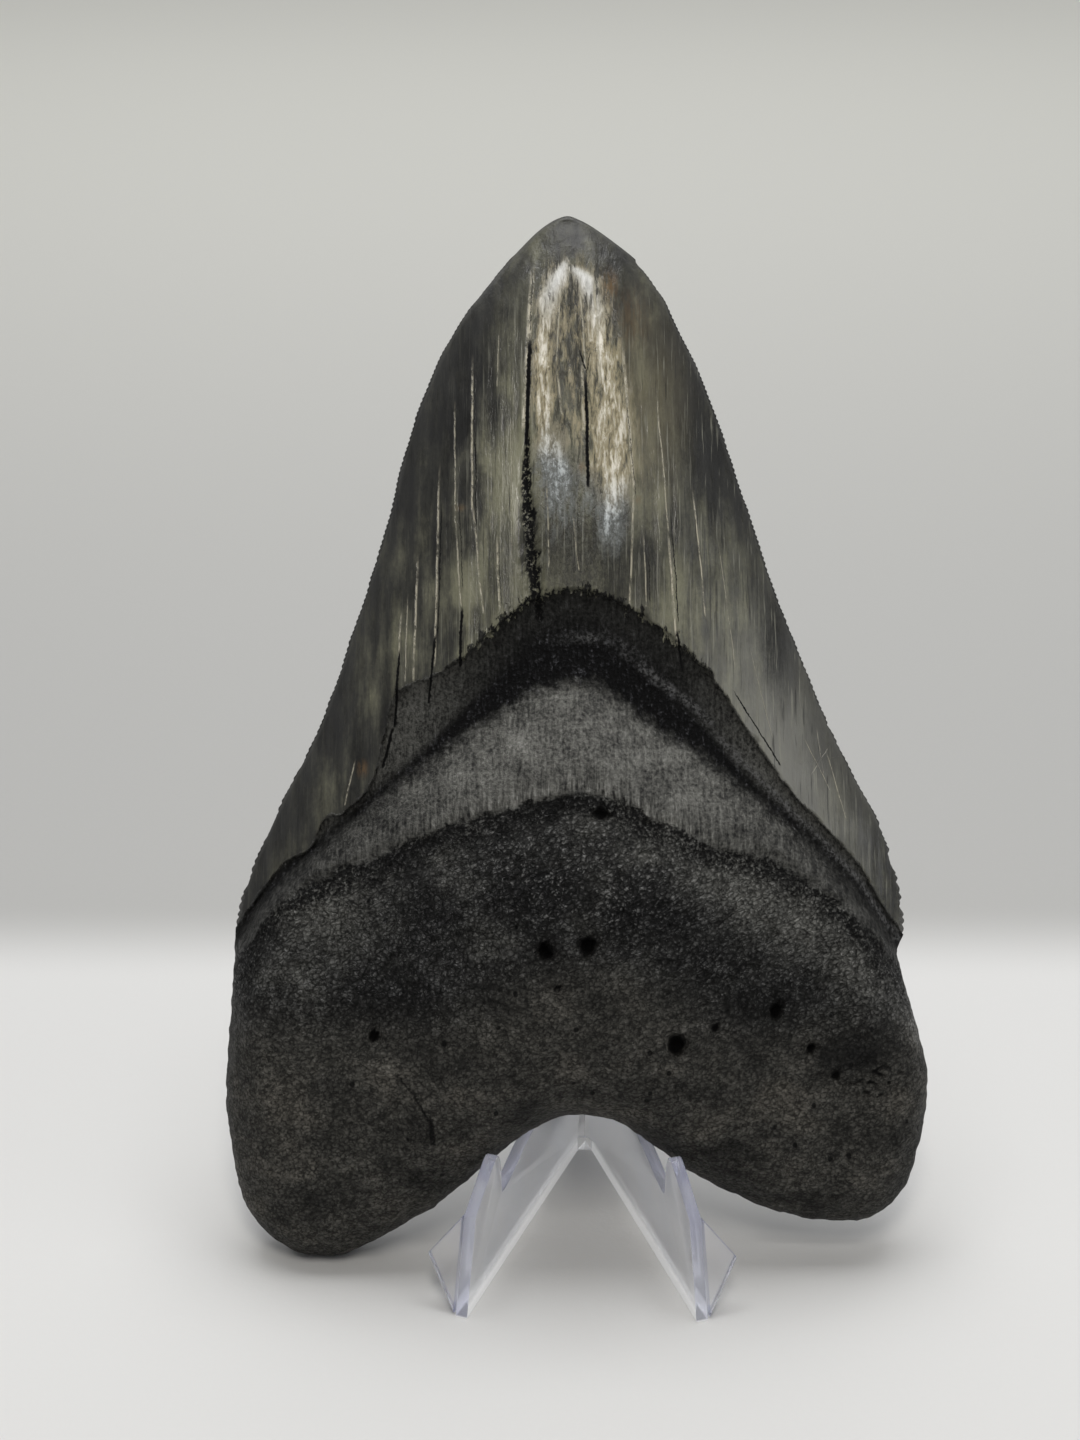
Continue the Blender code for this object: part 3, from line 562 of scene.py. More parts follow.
def rounding(distance, width):
    """Quarter-round profile: 0 on the outline and 1 from the given width inwards."""
    t = 1 - np.clip(distance / width, 0.0, 1.0)
    return np.sqrt(1 - t * t)


def above(table, points):
    """Signed distance of points above a line that runs across a face."""
    line = smooth(table)
    at = np.maximum.accumulate(line[:, 0] + 1e-6 * np.arange(len(line)))
    slope = np.gradient(line[:, 1], at)
    height = points[:, 1] - np.interp(points[:, 0], at, line[:, 1])
    return height / np.hypot(1.0, np.interp(points[:, 0], at, slope))


# What the materials read from the mesh, besides which face a vertex is on.
FIELDS = ("to_root", "to_dome", "to_enamel", "edge", "section", "recess_shade", "flaky", "pale", "ridge")


class Face:
    """Fields of one face of the tooth at given plane points."""

    def __init__(self, face, points, levels):
        self.face = face
        self.front = face == "front"
        self.points = points
        self.levels = levels
        self.x, self.s = points.T
        self.section = crown_section(points)
        self.root_edge = distance_to(ROOT_OUTLINE, points)
        self.edge = np.minimum(self.root_edge, distance_to(CROWN_OUTLINE, points))
        root, dome, enamel = FACE_LINES[face]
        self.to_root = above(root, points)
        self.to_dome = above(dome, points)
        self.to_enamel = above(enamel, points)
        self.ragged = 0.45 * self.field(2.2, 1.6, 31.0, 3)
        self.jagged = 0.35 * self.field(0.9, 1.3, 37.0)
        self.enamel = smoothstep(-0.3, 0.05, self.to_enamel + self.ragged)
        self.root = 1 - smoothstep(-0.5, 0.5, self.to_root)
        for name in ("recess_shade", "flaky", "pale", "ridge"):
            setattr(self, name, np.zeros(len(points)))

    def field(self, *cells_and_seed):
        return field(self.points, *cells_and_seed)

    def noise_relief(self, table):
        return sum(height * self.field(*cells_and_seed) for height, *cells_and_seed in table)

    def base(self):
        """Height over the middle surface, as in the CAD solid but for steps and grooves."""
        crown_depth, root_depth, fullness, rim, seed = FACE_SHAPES[self.face]
        crown = value(crown_depth, self.s) * (1 - self.section**2) ** fullness
        crown *= 1 - np.exp(-TIP_FULLNESS * np.clip(4 - self.levels, 0.0, 1.0))
        lobes = LOBE_SHARE + (1 - LOBE_SHARE) * bell(self.x, LOBE_REACH)
        round_off = rounding(self.root_edge, rim)
        root = value(root_depth, np.clip(self.levels, 0.0, 3.0)) * lobes * round_off
        swells = self.field(LUMP_PITCH, LUMP_PITCH, seed, 3, 0.6)
        root += LUMP_HEIGHT * swells * round_off
        rootness = 1 - smoothstep(1.0, 3.0, self.levels)
        return (1 - rootness) * crown + rootness * root

    def steps(self):
        """The enamel's step and the groove along the root's upper edge."""
        inward = np.clip(self.root_edge / 2.0, 0.0, 1.0) * (1 - self.section**8)
        step = ENAMEL_STEPS[self.face] * self.enamel * inward
        if not self.front:
            return step
        depth, half_width = ROOT_GROOVE
        wander = 0.7 * self.field(3.0, 2.0, 12.0, 3)
        groove = (0.7 + 0.6 * self.ragged) * bell(self.to_root + wander, half_width)
        return step - depth * groove * np.clip(self.edge / 4.0, 0.0, 1.0)

    def pit(self, x, s, radius, depth):
        reach = np.hypot(self.x - x, (self.s - s) / HOLE_STRETCH) / radius
        reach = reach * (1 + 0.9 * self.ragged + 0.6 * self.jagged)
        hole = np.exp(-(reach**4))
        self.recess_shade = np.maximum(self.recess_shade, hole)
        return -depth * hole

    def crack(self, depth, path):
        """Wedge-shaped groove with ragged sides along a path from the top down."""
        x, s, width = np.array(path[::-1]).T
        middle = np.interp(self.s, s, x) + 0.4 * self.ragged + 0.4 * self.jagged
        reach = np.interp(self.s, s, width, left=0.0, right=0.0) * (1 + 2.0 * self.jagged)
        share = np.clip(1 - np.abs(self.x - middle) / np.maximum(reach, 1e-3), 0.0, 1.0)
        share *= (self.s > s[0]) & (self.s < s[-1])
        self.recess_shade = np.maximum(self.recess_shade, np.clip(1.6 * share, 0.0, 1.0))
        return -depth * share**0.7

    def crown_relief(self):
        """Long flutes, and the flaky strip with its pale bands."""
        relief = self.noise_relief(FLUTES) * self.enamel
        if self.front:
            heights, left, right = np.array(FLAKY_STRIP).T
            from_left = self.x - np.interp(self.s, heights, left)
            inside = np.minimum(from_left, np.interp(self.s, heights, right) - self.x)
            ends = smoothstep(*FLAKY_START, self.s) * (1 - smoothstep(*FLAKY_END, self.s))
            self.flaky = smoothstep(-0.6, 0.8, inside + 1.6 * self.ragged) * ends
            flakes = np.abs(self.field(1.1, 9.0, 15.0, 3))
            relief -= self.flaky * (0.06 + 0.16 * flakes)
            for path in PALE_BANDS:
                x, s, half = np.array(path[::-1]).T
                away = (self.x - np.interp(self.s, s, x)) / np.interp(self.s, s, half)
                ends = smoothstep(s[0] - 3.0, s[0] + 6.0, self.s)
                ends *= smoothstep(s[-1] + 1.0, s[-1] - 1.0, self.s)
                self.pale = np.maximum(self.pale, bell(away, 1.0) * ends)
        return relief

    def band_relief(self):
        """The bark-like dark band with its wavy ridge, and the dome below it."""
        low = np.clip(1 - self.enamel - self.root, 0.0, 1.0)
        relief = low * self.noise_relief(BARK)
        if self.front:
            midway = 0.5 * (self.to_dome + self.to_enamel) + 0.9 * self.ragged
            ridge = bell(midway, 0.45) * smoothstep(-6.0, 4.0, self.x)
            sunk = smoothstep(-0.6, 0.8, self.to_dome + self.ragged) * low
            relief += 0.35 * ridge * low - 0.35 * sunk
            self.ridge = ridge * low
        return relief

    def root_relief(self):
        """Pebbles and scabs of the root, stronger towards its upper edge."""
        upper = smoothstep(*ROOT_ROUGHENS, self.s + 6.0 * self.ragged)
        grain = (0.07 + 0.19 * upper) * self.field(1.25, 1.15, 41.0)
        swell = self.noise_relief(ROOT_SWELL)
        slanted = np.column_stack([self.x + 0.8 * self.s, self.s - 0.8 * self.x])
        wrinkle = 0.12 * field(slanted, 1.4, 9.0, 45.0) * smoothstep(18.0, 34.0, self.x)
        relief = self.root * (grain + swell + wrinkle)
        if self.front:
            x, s, half_x, half_s = ROUGH_PATCH
            near = np.exp(-(((self.x - x) / half_x) ** 2) - ((self.s - s) / half_s) ** 2)
            scabs = self.field(1.3, 1.0, 47.0, 3)
            relief += near * (0.7 * scabs - 0.35)
            self.recess_shade = np.maximum(self.recess_shade, near * smoothstep(0.1, 0.5, -scabs))
            ledge = bell(self.to_root + 2.2, 2.2) * self.root
            relief += 0.22 * ledge * self.field(1.6, 1.1, 49.0)
        return relief

    def depth(self):
        relief = self.crown_relief() + self.band_relief() + self.root_relief()
        for hole in FORAMINA_FRONT if self.front else FORAMINA_BACK:
            relief += self.pit(*hole)
        if self.front:
            relief += self.crack(OPEN_CRACK_DEPTH, OPEN_CRACK)
        height = self.base() + self.steps() + relief * np.clip(self.edge / RELIEF_FADE, 0.0, 1.0)
        return middle_depth(self.points) + (height if self.front else -height)


# ---- cutting edges
def serration(side, s, length):
    """How far the cutting edge is worn or cut back, at heights s and arc lengths."""
    pitch = np.interp(s, *np.array(SERRATION_PITCH).T)
    size = np.interp(s, *np.array(SERRATION_DEPTH).T)
    steps = np.diff(length, prepend=length[0])
    slow = drift(length, SLOW_PITCH, side, 2.0)
    worn = drift(length, EDGE_WEAR_PITCH, side, 8.0)
    turns = np.cumsum(steps / pitch) + 0.5 * slow
    cut = size * (0.75 + 0.5 * worn) * (1 - np.abs(np.sin(np.pi * turns)))
    cut += EDGE_WEAR * (worn + 0.5 * slow) * smoothstep(*WEAR_ENDS, s)
    for chip_side, at, half, deep in CHIPS:
        if chip_side == side:
            cut += deep * bell(s - at, half)
    return cut


class Book:
    """Vertices of the tooth, added group by group, each with the face whose depth it takes."""

    def __init__(self):
        self.points = []
        self.levels = []
        self.front = []
        self.count = 0

    def add(self, points, levels, front):
        points = np.asarray(points).reshape(-1, 2)
        self.points.append(points)
        self.levels.append(np.asarray(levels).reshape(-1))
        self.front.append(np.full(len(points), front))
        self.count += len(points)
        return np.arange(self.count - len(points), self.count)


# Vertices along a cutting edge, and beside it on the front and on the back.
Rim = namedtuple("Rim", "edge near far")


def tooth_layout():
    """All vertices in the tooth's plane, and its polygons.

    The front has every row and column, and the back every second one. Along the crown's
    edges runs a rim with RIM_STEPS times as many vertices, which both faces share.
    """
    book = Book()
    grid, levels = whole_grid("front")
    rows, columns = np.arange(LAST_ROW + 1), np.arange(COLUMNS + 1)
    front = book.add(grid, levels, True).reshape(grid.shape[:2])
    back = np.full_like(front, -1)
    back[[0, -1], :] = front[[0, -1], :]
    back[:, [0, -1]] = front[:, [0, -1]]
    back_grid, back_levels = whole_grid("back")
    inner = np.ix_(rows[2:-2:2], columns[2:-2:2])
    back[inner] = book.add(back_grid[inner], back_levels[inner], False).reshape(back[inner].shape)
    rims = add_rims(book, front)
    polygons = front_polygons(front, rims) + back_polygons(front, back, rims)
    return book, polygons, rims


def add_rims(book, front):
    """The rims by side, -1 left and 1 right, from the enamel's lower edge up."""
    fine = np.linspace(0.0, 1.0, ROWS["crown"] * RIM_STEPS + 1)
    between = np.arange(len(fine)) % RIM_STEPS != 0
    on_front, levels = block_grid("front", "crown", fine, rim_only=True)
    on_back, _ = block_grid("back", "crown", fine, rim_only=True)
    rims = {}
    for side, (outer, ring) in {-1: (0, 1), 1: (3, 2)}.items():
        column = 0 if side < 0 else COLUMNS
        edge = np.full(len(fine), -1)
        edge[~between] = front[ENAMEL_ROW:, column]
        edge[between] = book.add(on_front[between, outer], levels[between, outer], True)
        near = np.full(len(fine), -1)
        near[~between] = front[ENAMEL_ROW:, column - side]
        near[between] = book.add(on_front[between, ring], levels[between, ring], True)
        added = book.add(on_back[:-1, ring], levels[:-1, ring], False)
        rims[side] = Rim(edge, near, far=np.append(added, front[-1, column - side]))
    return rims


def front_polygons(front, rims):
    polygons = []
    for row in range(LAST_ROW):
        rimmed = row >= ENAMEL_ROW
        first = (row - ENAMEL_ROW) * RIM_STEPS
        span = slice(first + 1, first + RIM_STEPS)
        for column in range(COLUMNS):
            if rimmed and column in (0, COLUMNS - 1):
                continue
            ring = [front[row, column], front[row, column + 1]]
            if rimmed and column == COLUMNS - 2:
                ring += list(rims[1].near[span])
            ring += [front[row + 1, column + 1], front[row + 1, column]]
            if rimmed and column == 1:
                ring += list(rims[-1].near[span][::-1])
            polygons.append(ring)
    for side, rim in rims.items():
        polygons += rim_polygons(rim.edge, rim.near, flip=side > 0)
    return polygons


def rim_polygons(edge, ring, flip):
    """Quads between an edge and the ring inside it, facing forward, or back if flipped."""
    made = [[edge[k], ring[k], ring[k + 1], edge[k + 1]] for k in range(len(edge) - 1)]
    return [quad[::-1] for quad in made] if flip else made


def back_polygons(front, back, rims):
    polygons = []
    for row in range(0, LAST_ROW, 2):
        rimmed = row >= ENAMEL_ROW
        first = (row - ENAMEL_ROW) * RIM_STEPS
        span = slice(first, first + 2 * RIM_STEPS + 1)
        for column in range(0, COLUMNS, 2):
            left, right = column == 0, column + 2 == COLUMNS
            low = [back[row, column], back[row, column + 2]]
            high = [back[row + 2, column + 2], back[row + 2, column]]
            if row == 0:
                low.insert(1, front[0, column + 1])
            if row + 2 == ENAMEL_ROW and (left or right):
                high.insert(1, rims[-1 if left else 1].far[0])
            if row + 2 == LAST_ROW and not (left or right):
                high.insert(1, front[-1, column + 1])
            rising = [front[row + 1, COLUMNS]] if right and not rimmed else []
            falling = [front[row + 1, 0]] if left and not rimmed else []
            if rimmed and left:
                low, high = low[-1:], high[:1]
                falling = list(rims[-1].far[span][::-1])
            if rimmed and right:
                low, high = low[:1], high[-1:]
                rising = list(rims[1].far[span])
            polygons.append((low + rising + high + falling)[::-1])
    for side, rim in rims.items():
        polygons += rim_polygons(rim.edge, rim.far, flip=side < 0)
    return polygons


def cut_edges(points, rims):
    """Moves the crown's edge vertices inwards by the serrations, and the ring by a share."""
    for side, rim in rims.items():
        line = points[rim.edge]
        run = np.gradient(line, axis=0)
        run /= np.hypot(*run.T)[:, None]
        inwards = side * np.column_stack([-run[:, 1], run[:, 0]])
        length = np.concatenate([[0.0], np.cumsum(np.hypot(*np.diff(line, axis=0).T))])
        shift = serration(side, line[:, 1], length)[:, None] * inwards
        points[rim.edge] += shift
        for beside in (rim.near, rim.far):
            points[beside[:-1]] += RING_SHARE * shift[:-1]


def weathered_outline(points, levels):
    """Small uneven shifts of the root's points in its plane, which roughen its outline."""
    share = (1 - smoothstep(1.5, 3.0, levels))[:, None]
    pitch = OUTLINE_WEAR_PITCH
    shifts = [field(points, pitch, pitch, seed, 3) for seed in (61.0, 67.0)]
    return points + OUTLINE_WEAR * share * np.column_stack(shifts)


def placed(points, depth):
    """Places, in metres, of points of the leaning tooth with its foot line at the origin."""
    size = MM * SLANT_HEIGHT / DRAWN_HEIGHT
    x, s = points.T
    y = s * math.sin(LEAN) - depth * math.cos(LEAN)
    z = s * math.cos(LEAN) + depth * math.sin(LEAN)
    return size * np.column_stack([x, y, z])


def set_on_node(places, node):
    """Shifts places so that their box is centred on the node's, and stands where it does."""
    low, high = (np.array(corner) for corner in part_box(node))
    shift = 0.5 * (low + high) - 0.5 * (places.min(0) + places.max(0))
    shift[2] = low[2] - places[:, 2].min()
    return places + shift


def link_new(name, data):
    made = bpy.data.objects.new(name, data)
    bpy.context.scene.collection.objects.link(made)
    return made


def mesh_object(name, places, polygons):
    mesh = bpy.data.meshes.new(name)
    mesh.from_pydata(places.tolist(), [], [[int(k) for k in ring] for ring in polygons])
    mesh.polygons.foreach_set("use_smooth", [True] * len(mesh.polygons))
    mesh.update()
    return link_new(name, mesh)


def build_tooth():
    book, polygons, rims = tooth_layout()
    points = np.concatenate(book.points)
    levels = np.concatenate(book.levels)
    front = np.concatenate(book.front)
    depth = np.zeros(len(points))
    fields = {name: np.zeros(len(points)) for name in FIELDS}
    for face, members in (("front", front), ("back", ~front)):
        shape = Face(face, points[members], levels[members])
        depth[members] = shape.depth()
        for name in FIELDS:
            fields[name][members] = getattr(shape, name)
    fields["front"] = front.astype(float)
    cut_edges(points, rims)
    points = weathered_outline(points, levels)
    tooth = mesh_object("tooth_fossil", set_on_node(placed(points, depth), "tooth"), polygons)
    for name, numbers in fields.items():
        layer = tooth.data.attributes.new(name, "FLOAT", "POINT")
        layer.data.foreach_set("value", numbers.astype(np.float32))
    add_tooth_materials(tooth.data)
    return tooth


# ---- material nodes
class Value:
    """A node's output, so that a look can be written as formulas."""

    def __init__(self, graph, socket):
        self.graph = graph
        self.socket = socket

    def __add__(self, other):
        return self.graph.math("ADD", self, other)

    def __sub__(self, number):
        return self + -number

    def __mul__(self, other):
        return self.graph.math("MULTIPLY", self, other)

    def __abs__(self):
        return self.graph.math("ABSOLUTE", self)

    __rmul__ = __mul__


class Graph:
    """Short ways to add nodes to one material. Its lengths are in millimetres."""

    def __init__(self, name):
        self.material = bpy.data.materials.new(name)
        self.material.use_nodes = True
        self.tree = self.material.node_tree
        self.shader = self.tree.nodes["Principled BSDF"]
        self.place = self.node("ShaderNodeTexCoord", (), "Object")
        self.place = self.cells(MM, MM, MM)  # from metres

    def node(self, kind, inputs=(), output=0, **settings):
        """One output of a new node, whose inputs are given by name or number."""
        made = self.tree.nodes.new(kind)
        for name, setting in settings.items():
            setattr(made, name, setting)
        for key, fed in dict(inputs).items():
            self.feed(made.inputs[key], fed)
        return Value(self, made.outputs[output])

    def feed(self, socket, fed):
        if isinstance(fed, Value):
            self.tree.links.new(fed.socket, socket)
        else:
            socket.default_value = fed

    def shade(self, inputs):
        """Feeds the shader's inputs."""
        for name, fed in inputs.items():
            self.feed(self.shader.inputs[name], fed)

    def math(self, operation, *values):
        return self.node("ShaderNodeMath", dict(enumerate(values)), operation=operation)

    def vector(self, operation, *values):
        return self.node("ShaderNodeVectorMath", dict(enumerate(values)), operation=operation)

    def attribute(self, name):
        return self.node("ShaderNodeAttribute", (), "Fac", attribute_name=name)

    def cells(self, wide, deep, high):
        """The place, with cells of the given sizes turned into unit cells."""
        return self.vector("MULTIPLY", self.place, (1 / wide, 1 / deep, 1 / high))

    def noise(self, cell, detail, roughness, distortion=0.0):
        """Noise from 0 to 1, with cells of the given width, depth and height."""
        inputs = {
            "Vector": self.cells(*cell), "Scale": 1.0, "Detail": detail, "Roughness": roughness,
            "Distortion": distortion,
        }
        return self.node("ShaderNodeTexNoise", inputs, "Fac")

    def voronoi(self, cells, output="Distance", **settings):
        inputs = {"Vector": cells, "Scale": 1.0}
        return self.node("ShaderNodeTexVoronoi", inputs, output, **settings)

    def ease(self, at, low, high, start=0.0, end=1.0):
        """Smooth change from start to end as `at` goes from low to high."""
        if low > high:
            low, high, start, end = high, low, end, start
        inputs = {"Value": at, "From Min": low, "From Max": high, "To Min": start, "To Max": end}
        return self.node("ShaderNodeMapRange", inputs, "Result", interpolation_type="SMOOTHSTEP")

    def vector_ease(self, at, *limits):
        """Smooth change of three numbers at a time, each with its own limits."""
        inputs = {6: at, **dict(enumerate(limits, 7))}
        settings = {"data_type": "FLOAT_VECTOR", "interpolation_type": "SMOOTHSTEP"}
        return self.node("ShaderNodeMapRange", inputs, "Vector", **settings)

    def tinted(self, colour, factor):
        """A colour times a number."""
        return self.node("ShaderNodeVectorMath", {0: colour, "Scale": factor}, operation="SCALE")

    def mix(self, share, a, b):
        """Mix of two colours."""
        return self.node("ShaderNodeMix", {"Factor": share, 6: a, 7: b}, 2, data_type="RGBA")

    def blend(self, share, a, b):
        """Mix of two numbers."""
        return self.node("ShaderNodeMix", {"Factor": share, 2: a, 3: b}, data_type="FLOAT")

    def ramp(self, tone, stops):
        made = self.node("ShaderNodeValToRGB", {"Fac": tone}, "Color")
        elements = made.socket.node.color_ramp.elements
        while len(elements) < len(stops):
            elements.new(1.0)
        for element, (position, colour) in zip(elements, stops):
            element.position = position
            element.color = colour
        return made

    def split(self, vector):
        made = self.node("ShaderNodeSeparateXYZ", {0: vector}).socket.node
        return [Value(self, part) for part in made.outputs]

    def most(self, parts):
        found = None
        for part in parts:
            found = part if found is None else self.math("MAXIMUM", found, part)
        return found

    def layer(self, share, below, above):
        """One look laid over another, each a colour and then numbers."""
        numbers = [self.blend(share, *pair) for pair in zip(below[1:], above[1:])]
        return (self.mix(share, below[0], above[0]), *numbers)

    def bump(self, height):
        """Bump from a height in millimetres."""
        inputs = {"Strength": 1.0, "Distance": MM, "Height": height}
        return self.node("ShaderNodeBump", inputs, "Normal")


class ToothGraph(Graph):
    """A material of the tooth, whose place is (x, depth, s) in the tooth's own plane."""

    def __init__(self, name):
        super().__init__(name)
        moved = self.vector("ADD", self.place, tuple(-number for number in PLANE_FOOT))
        inputs = {"Vector": moved, "Angle": LEAN}
        self.place = self.node("ShaderNodeVectorRotate", inputs, rotation_type="X_AXIS")
        self.x, _, self.s = self.split(self.place)
        self.front = self.attribute("front")
        self.grain = self.noise((0.5, 0.5, 0.5), 4.0, 0.68)

    def spots(self, *table):
        """Soft oval spots, 1 in their middles."""
        found = []
        for at_x, at_s, half_x, half_s in table:
            dx = (self.x - at_x) * (1 / half_x)
            ds = (self.s - at_s) * (1 / half_s)
            reach = self.math("SQRT", dx * dx + ds * ds)
            found.append(self.ease(reach, 0.0, 1.6, 1.0, 0.0))
        return self.most(found)

    def wavering(self):
        """x with a slow sideways drift, so that fine cracks aren't straight."""
        return self.x + (self.noise((7.0, 9.0, 5.0), 3.0, 0.6) - 0.5) * 0.45

    def lines(self, x, table):
        """Thin straight lines between two points each, fading at their ends, three at a time."""
        all_x = self.node("ShaderNodeCombineXYZ", {0: x, 1: x, 2: x})
        all_s = self.node("ShaderNodeCombineXYZ", {0: self.s, 1: self.s, 2: self.s})
        found = None
        for first in range(0, len(table), 3):
            group = table[first : first + 3]
            group += group[:1] * (3 - len(group))
            top_x, top_s, foot_x, foot_s, half, strength = np.array(group).T
            slope = (top_x - foot_x) / (top_s - foot_s)
            shift = foot_x - slope * foot_s
            middle = self.vector("MULTIPLY_ADD", all_s, tuple(slope), tuple(shift))
            away = self.vector("ABSOLUTE", self.vector("SUBTRACT", all_x, middle))
            limits = [tuple(0.35 * half), tuple(1.3 * half), tuple(strength), (0.0,) * 3]
            body = self.vector_ease(away, *limits)
            rise = 1 / (top_s - foot_s)
            share = self.vector("MULTIPLY_ADD", all_s, tuple(rise), tuple(-rise * foot_s))
            for ends in ((0.0, 0.06, 0.0, 1.0), (0.75, 1.0, 1.0, 0.0)):
                limits = [(number,) * 3 for number in ends]
                body = self.vector("MULTIPLY", body, self.vector_ease(share, *limits))
            found = body if found is None else self.vector("MAXIMUM", found, body)
        return self.most(self.split(found))


# ---- the tooth's looks: each gives its colour, roughness, height and gloss
def streaked(g, grit, streaks, clouds, below_tip):
    """Colour of the enamel's streaks and clouds, with its paler and darker places, a painted sheen
    down the crown's middle and painted shade towards its sides and outline.
    """
    cloudy = clouds - 0.5
    across = g.attribute("section") + cloudy * 0.5
    # painted sheen and shade: the crown's middle is made paler and its sides darker, standing in
    # for the broad highlight on the convex enamel
    to_left = g.ease(across, -0.72, -0.30, -0.12, 0.12)
    painted_sheen = g.math("MINIMUM", to_left, g.ease(across, 0.45, 1.0, 0.075, -0.05))
    painted_sheen *= g.ease(g.s, 92.0, 112.0, 0.45, 1.0)
    tone = 0.40 * streaks + 0.52 * clouds + 0.12 * grit
    tone += painted_sheen * g.ease(g.s, 140.0, 116.0, -0.3, 1.0)
    tone += -0.09 * g.spots(*SHOULDER_SHADE)
    colour = g.ramp(tone, CROWN_TONES)
    # painted sheen on the lower right flank
    colour = g.mix(g.spots(PAINTED_SHEEN_FLANK) * g.front * 0.75, colour, grey(0.20, 0.06))
    # painted shade: darker towards the outline, where the enamel turns away from the light
    edge_shade = g.ease(g.attribute("edge") + cloudy * 9.0, 1.0, 6.5, 1.0, 0.0)
    colour = g.mix(0.6 * edge_shade, colour, grey(0.028, 0.02))
    darker = g.spots(*DARK_CROWN) * g.front * g.ease(grit, 0.3, 0.7, 0.98, 0.6)
    colour = g.mix(darker, colour, grey(0.018, 0.04))
    colour = g.mix(g.spots(WARM_CROWN) * g.front * 0.55, colour, OCHRE)
    faint = g.noise((0.34, 3.0, 12.0), 3.0, 0.6)
    combed = below_tip * g.blend(g.front, 0.6, g.ease(across, -0.8, -0.4, 0.1, 0.9))
    colour = g.mix(g.ease(faint, 0.41, 0.32) * (0.7 * combed), colour, grey(0.018))
    return g.mix(g.ease(faint, 0.57, 0.70) * (0.65 * combed), colour, grey(0.24, 0.10))


def flaked(g, colour, grit, shreds, clouds):
    """The flaky strip over a colour, its share of bared pale flakes, and its relief. The flakes
    carry painted highlights above and painted reflection glints below.
    """
    flaky = g.attribute("flaky") * g.front
    pale = g.attribute("pale") * g.front
    higher = (clouds - 0.5) * 12.0 + g.ease(g.x, -4.0, 5.0, -3.5, 5.0)
    low = g.ease(g.s + higher, 117.0, 109.0)
    torn = g.blend(0.6 * low, shreds, grit)
    blotch = g.noise((1.6, 4.0, 5.5), 4.0, 0.65) - 0.5
    tone = torn + 0.22 * pale + 0.75 * blotch
    bared = g.ease(tone, 0.45, 0.70) * g.blend(pale, 0.72 * flaky, 1.0)
    white_and_glint = g.ease(tone, 0.64, 0.88) * g.blend(pale, 0.2, 1.0)
    # cream flakes whitening into a painted highlight, white near the tip; below them, painted
    # reflection glints
    upper = g.mix(white_and_glint, CREAM, CHALK_AND_HIGHLIGHT)
    upper = g.mix(g.ease(g.s, 130.0, 140.0, 0.0, 0.6) * pale, upper, TIP_HIGHLIGHT)
    lower = g.mix(white_and_glint, SILVER_GLINT, BLUE_WHITE_GLINT)
    umber = g.ease(torn, 0.52, 0.38) * flaky
    colour = g.mix(0.75 * umber, colour, UMBER)
    colour = g.mix(bared, colour, g.mix(low, upper, lower))
    foot = flaky * g.ease(g.s + 8.0 * blotch, 104.0, 97.0)
    return g.mix(0.6 * foot, colour, grey(0.020)), bared, flaky * torn


def enamel_look(g):
    """The crown: streaky enamel, the flaky strip, silt in the hairlines, and rust."""
    below_tip = g.ease(g.s, 143.0, 130.0)
    grit = g.noise((0.42, 0.8, 0.6), 4.0, 0.7, 0.6)
    streaks = g.noise((1.6, 8.0, 15.0), 5.0, 0.66)
    streaks = g.blend(below_tip, g.noise((2.2, 3.0, 4.0), 4.0, 0.6), streaks)
    clouds = g.noise((8.0, 16.0, 14.0), 4.0, 0.62)
    shreds = g.noise((0.55, 3.0, 2.6), 5.0, 0.75, 0.5)
    colour = streaked(g, grit, streaks, clouds, below_tip)
    colour, bared, flakes = flaked(g, colour, grit, shreds, clouds)

    broken = g.ease(g.noise((1.0, 3.0, 1.9), 4.0, 0.75), 0.38, 0.56, 0.12, 1.0)
    silt = g.lines(g.wavering(), HAIRLINES + SCRATCHES) * broken * g.blend(g.front, 0.5, 1.0)
    colour = g.mix(0.9 * silt, colour, SILT)
    stains = g.most(strength * g.spots(spot) for *spot, strength in STAINS)
    rust = stains * g.front * g.ease(shreds, 0.38, 0.6, 0.05, 0.8)
    colour = g.mix(rust, colour, RUST)
    colour = g.mix(g.ease(g.attribute("edge"), 0.15, 0.8, 0.4, 0.0), colour, grey(0.10, 0.03))

    gloss = g.noise((1.6, 5.0, 8.0), 4.0, 0.65)
    roughness = g.blend(0.6 * bared, g.ease(gloss, 0.35, 0.65, 0.24, 0.42), 0.5)
    height = 0.22 * streaks + 0.035 * grit + 0.36 * flakes + -0.12 * silt
    shine = g.ease(gloss, 0.30, 0.62, 0.40, 1.0) * g.ease(g.s, 147.0, 138.0, 0.25, 1.0)
    shine *= g.ease(g.spots(MATT_CROWN), 0.0, 0.9, 1.0, 0.12)
    return colour, roughness, height, shine


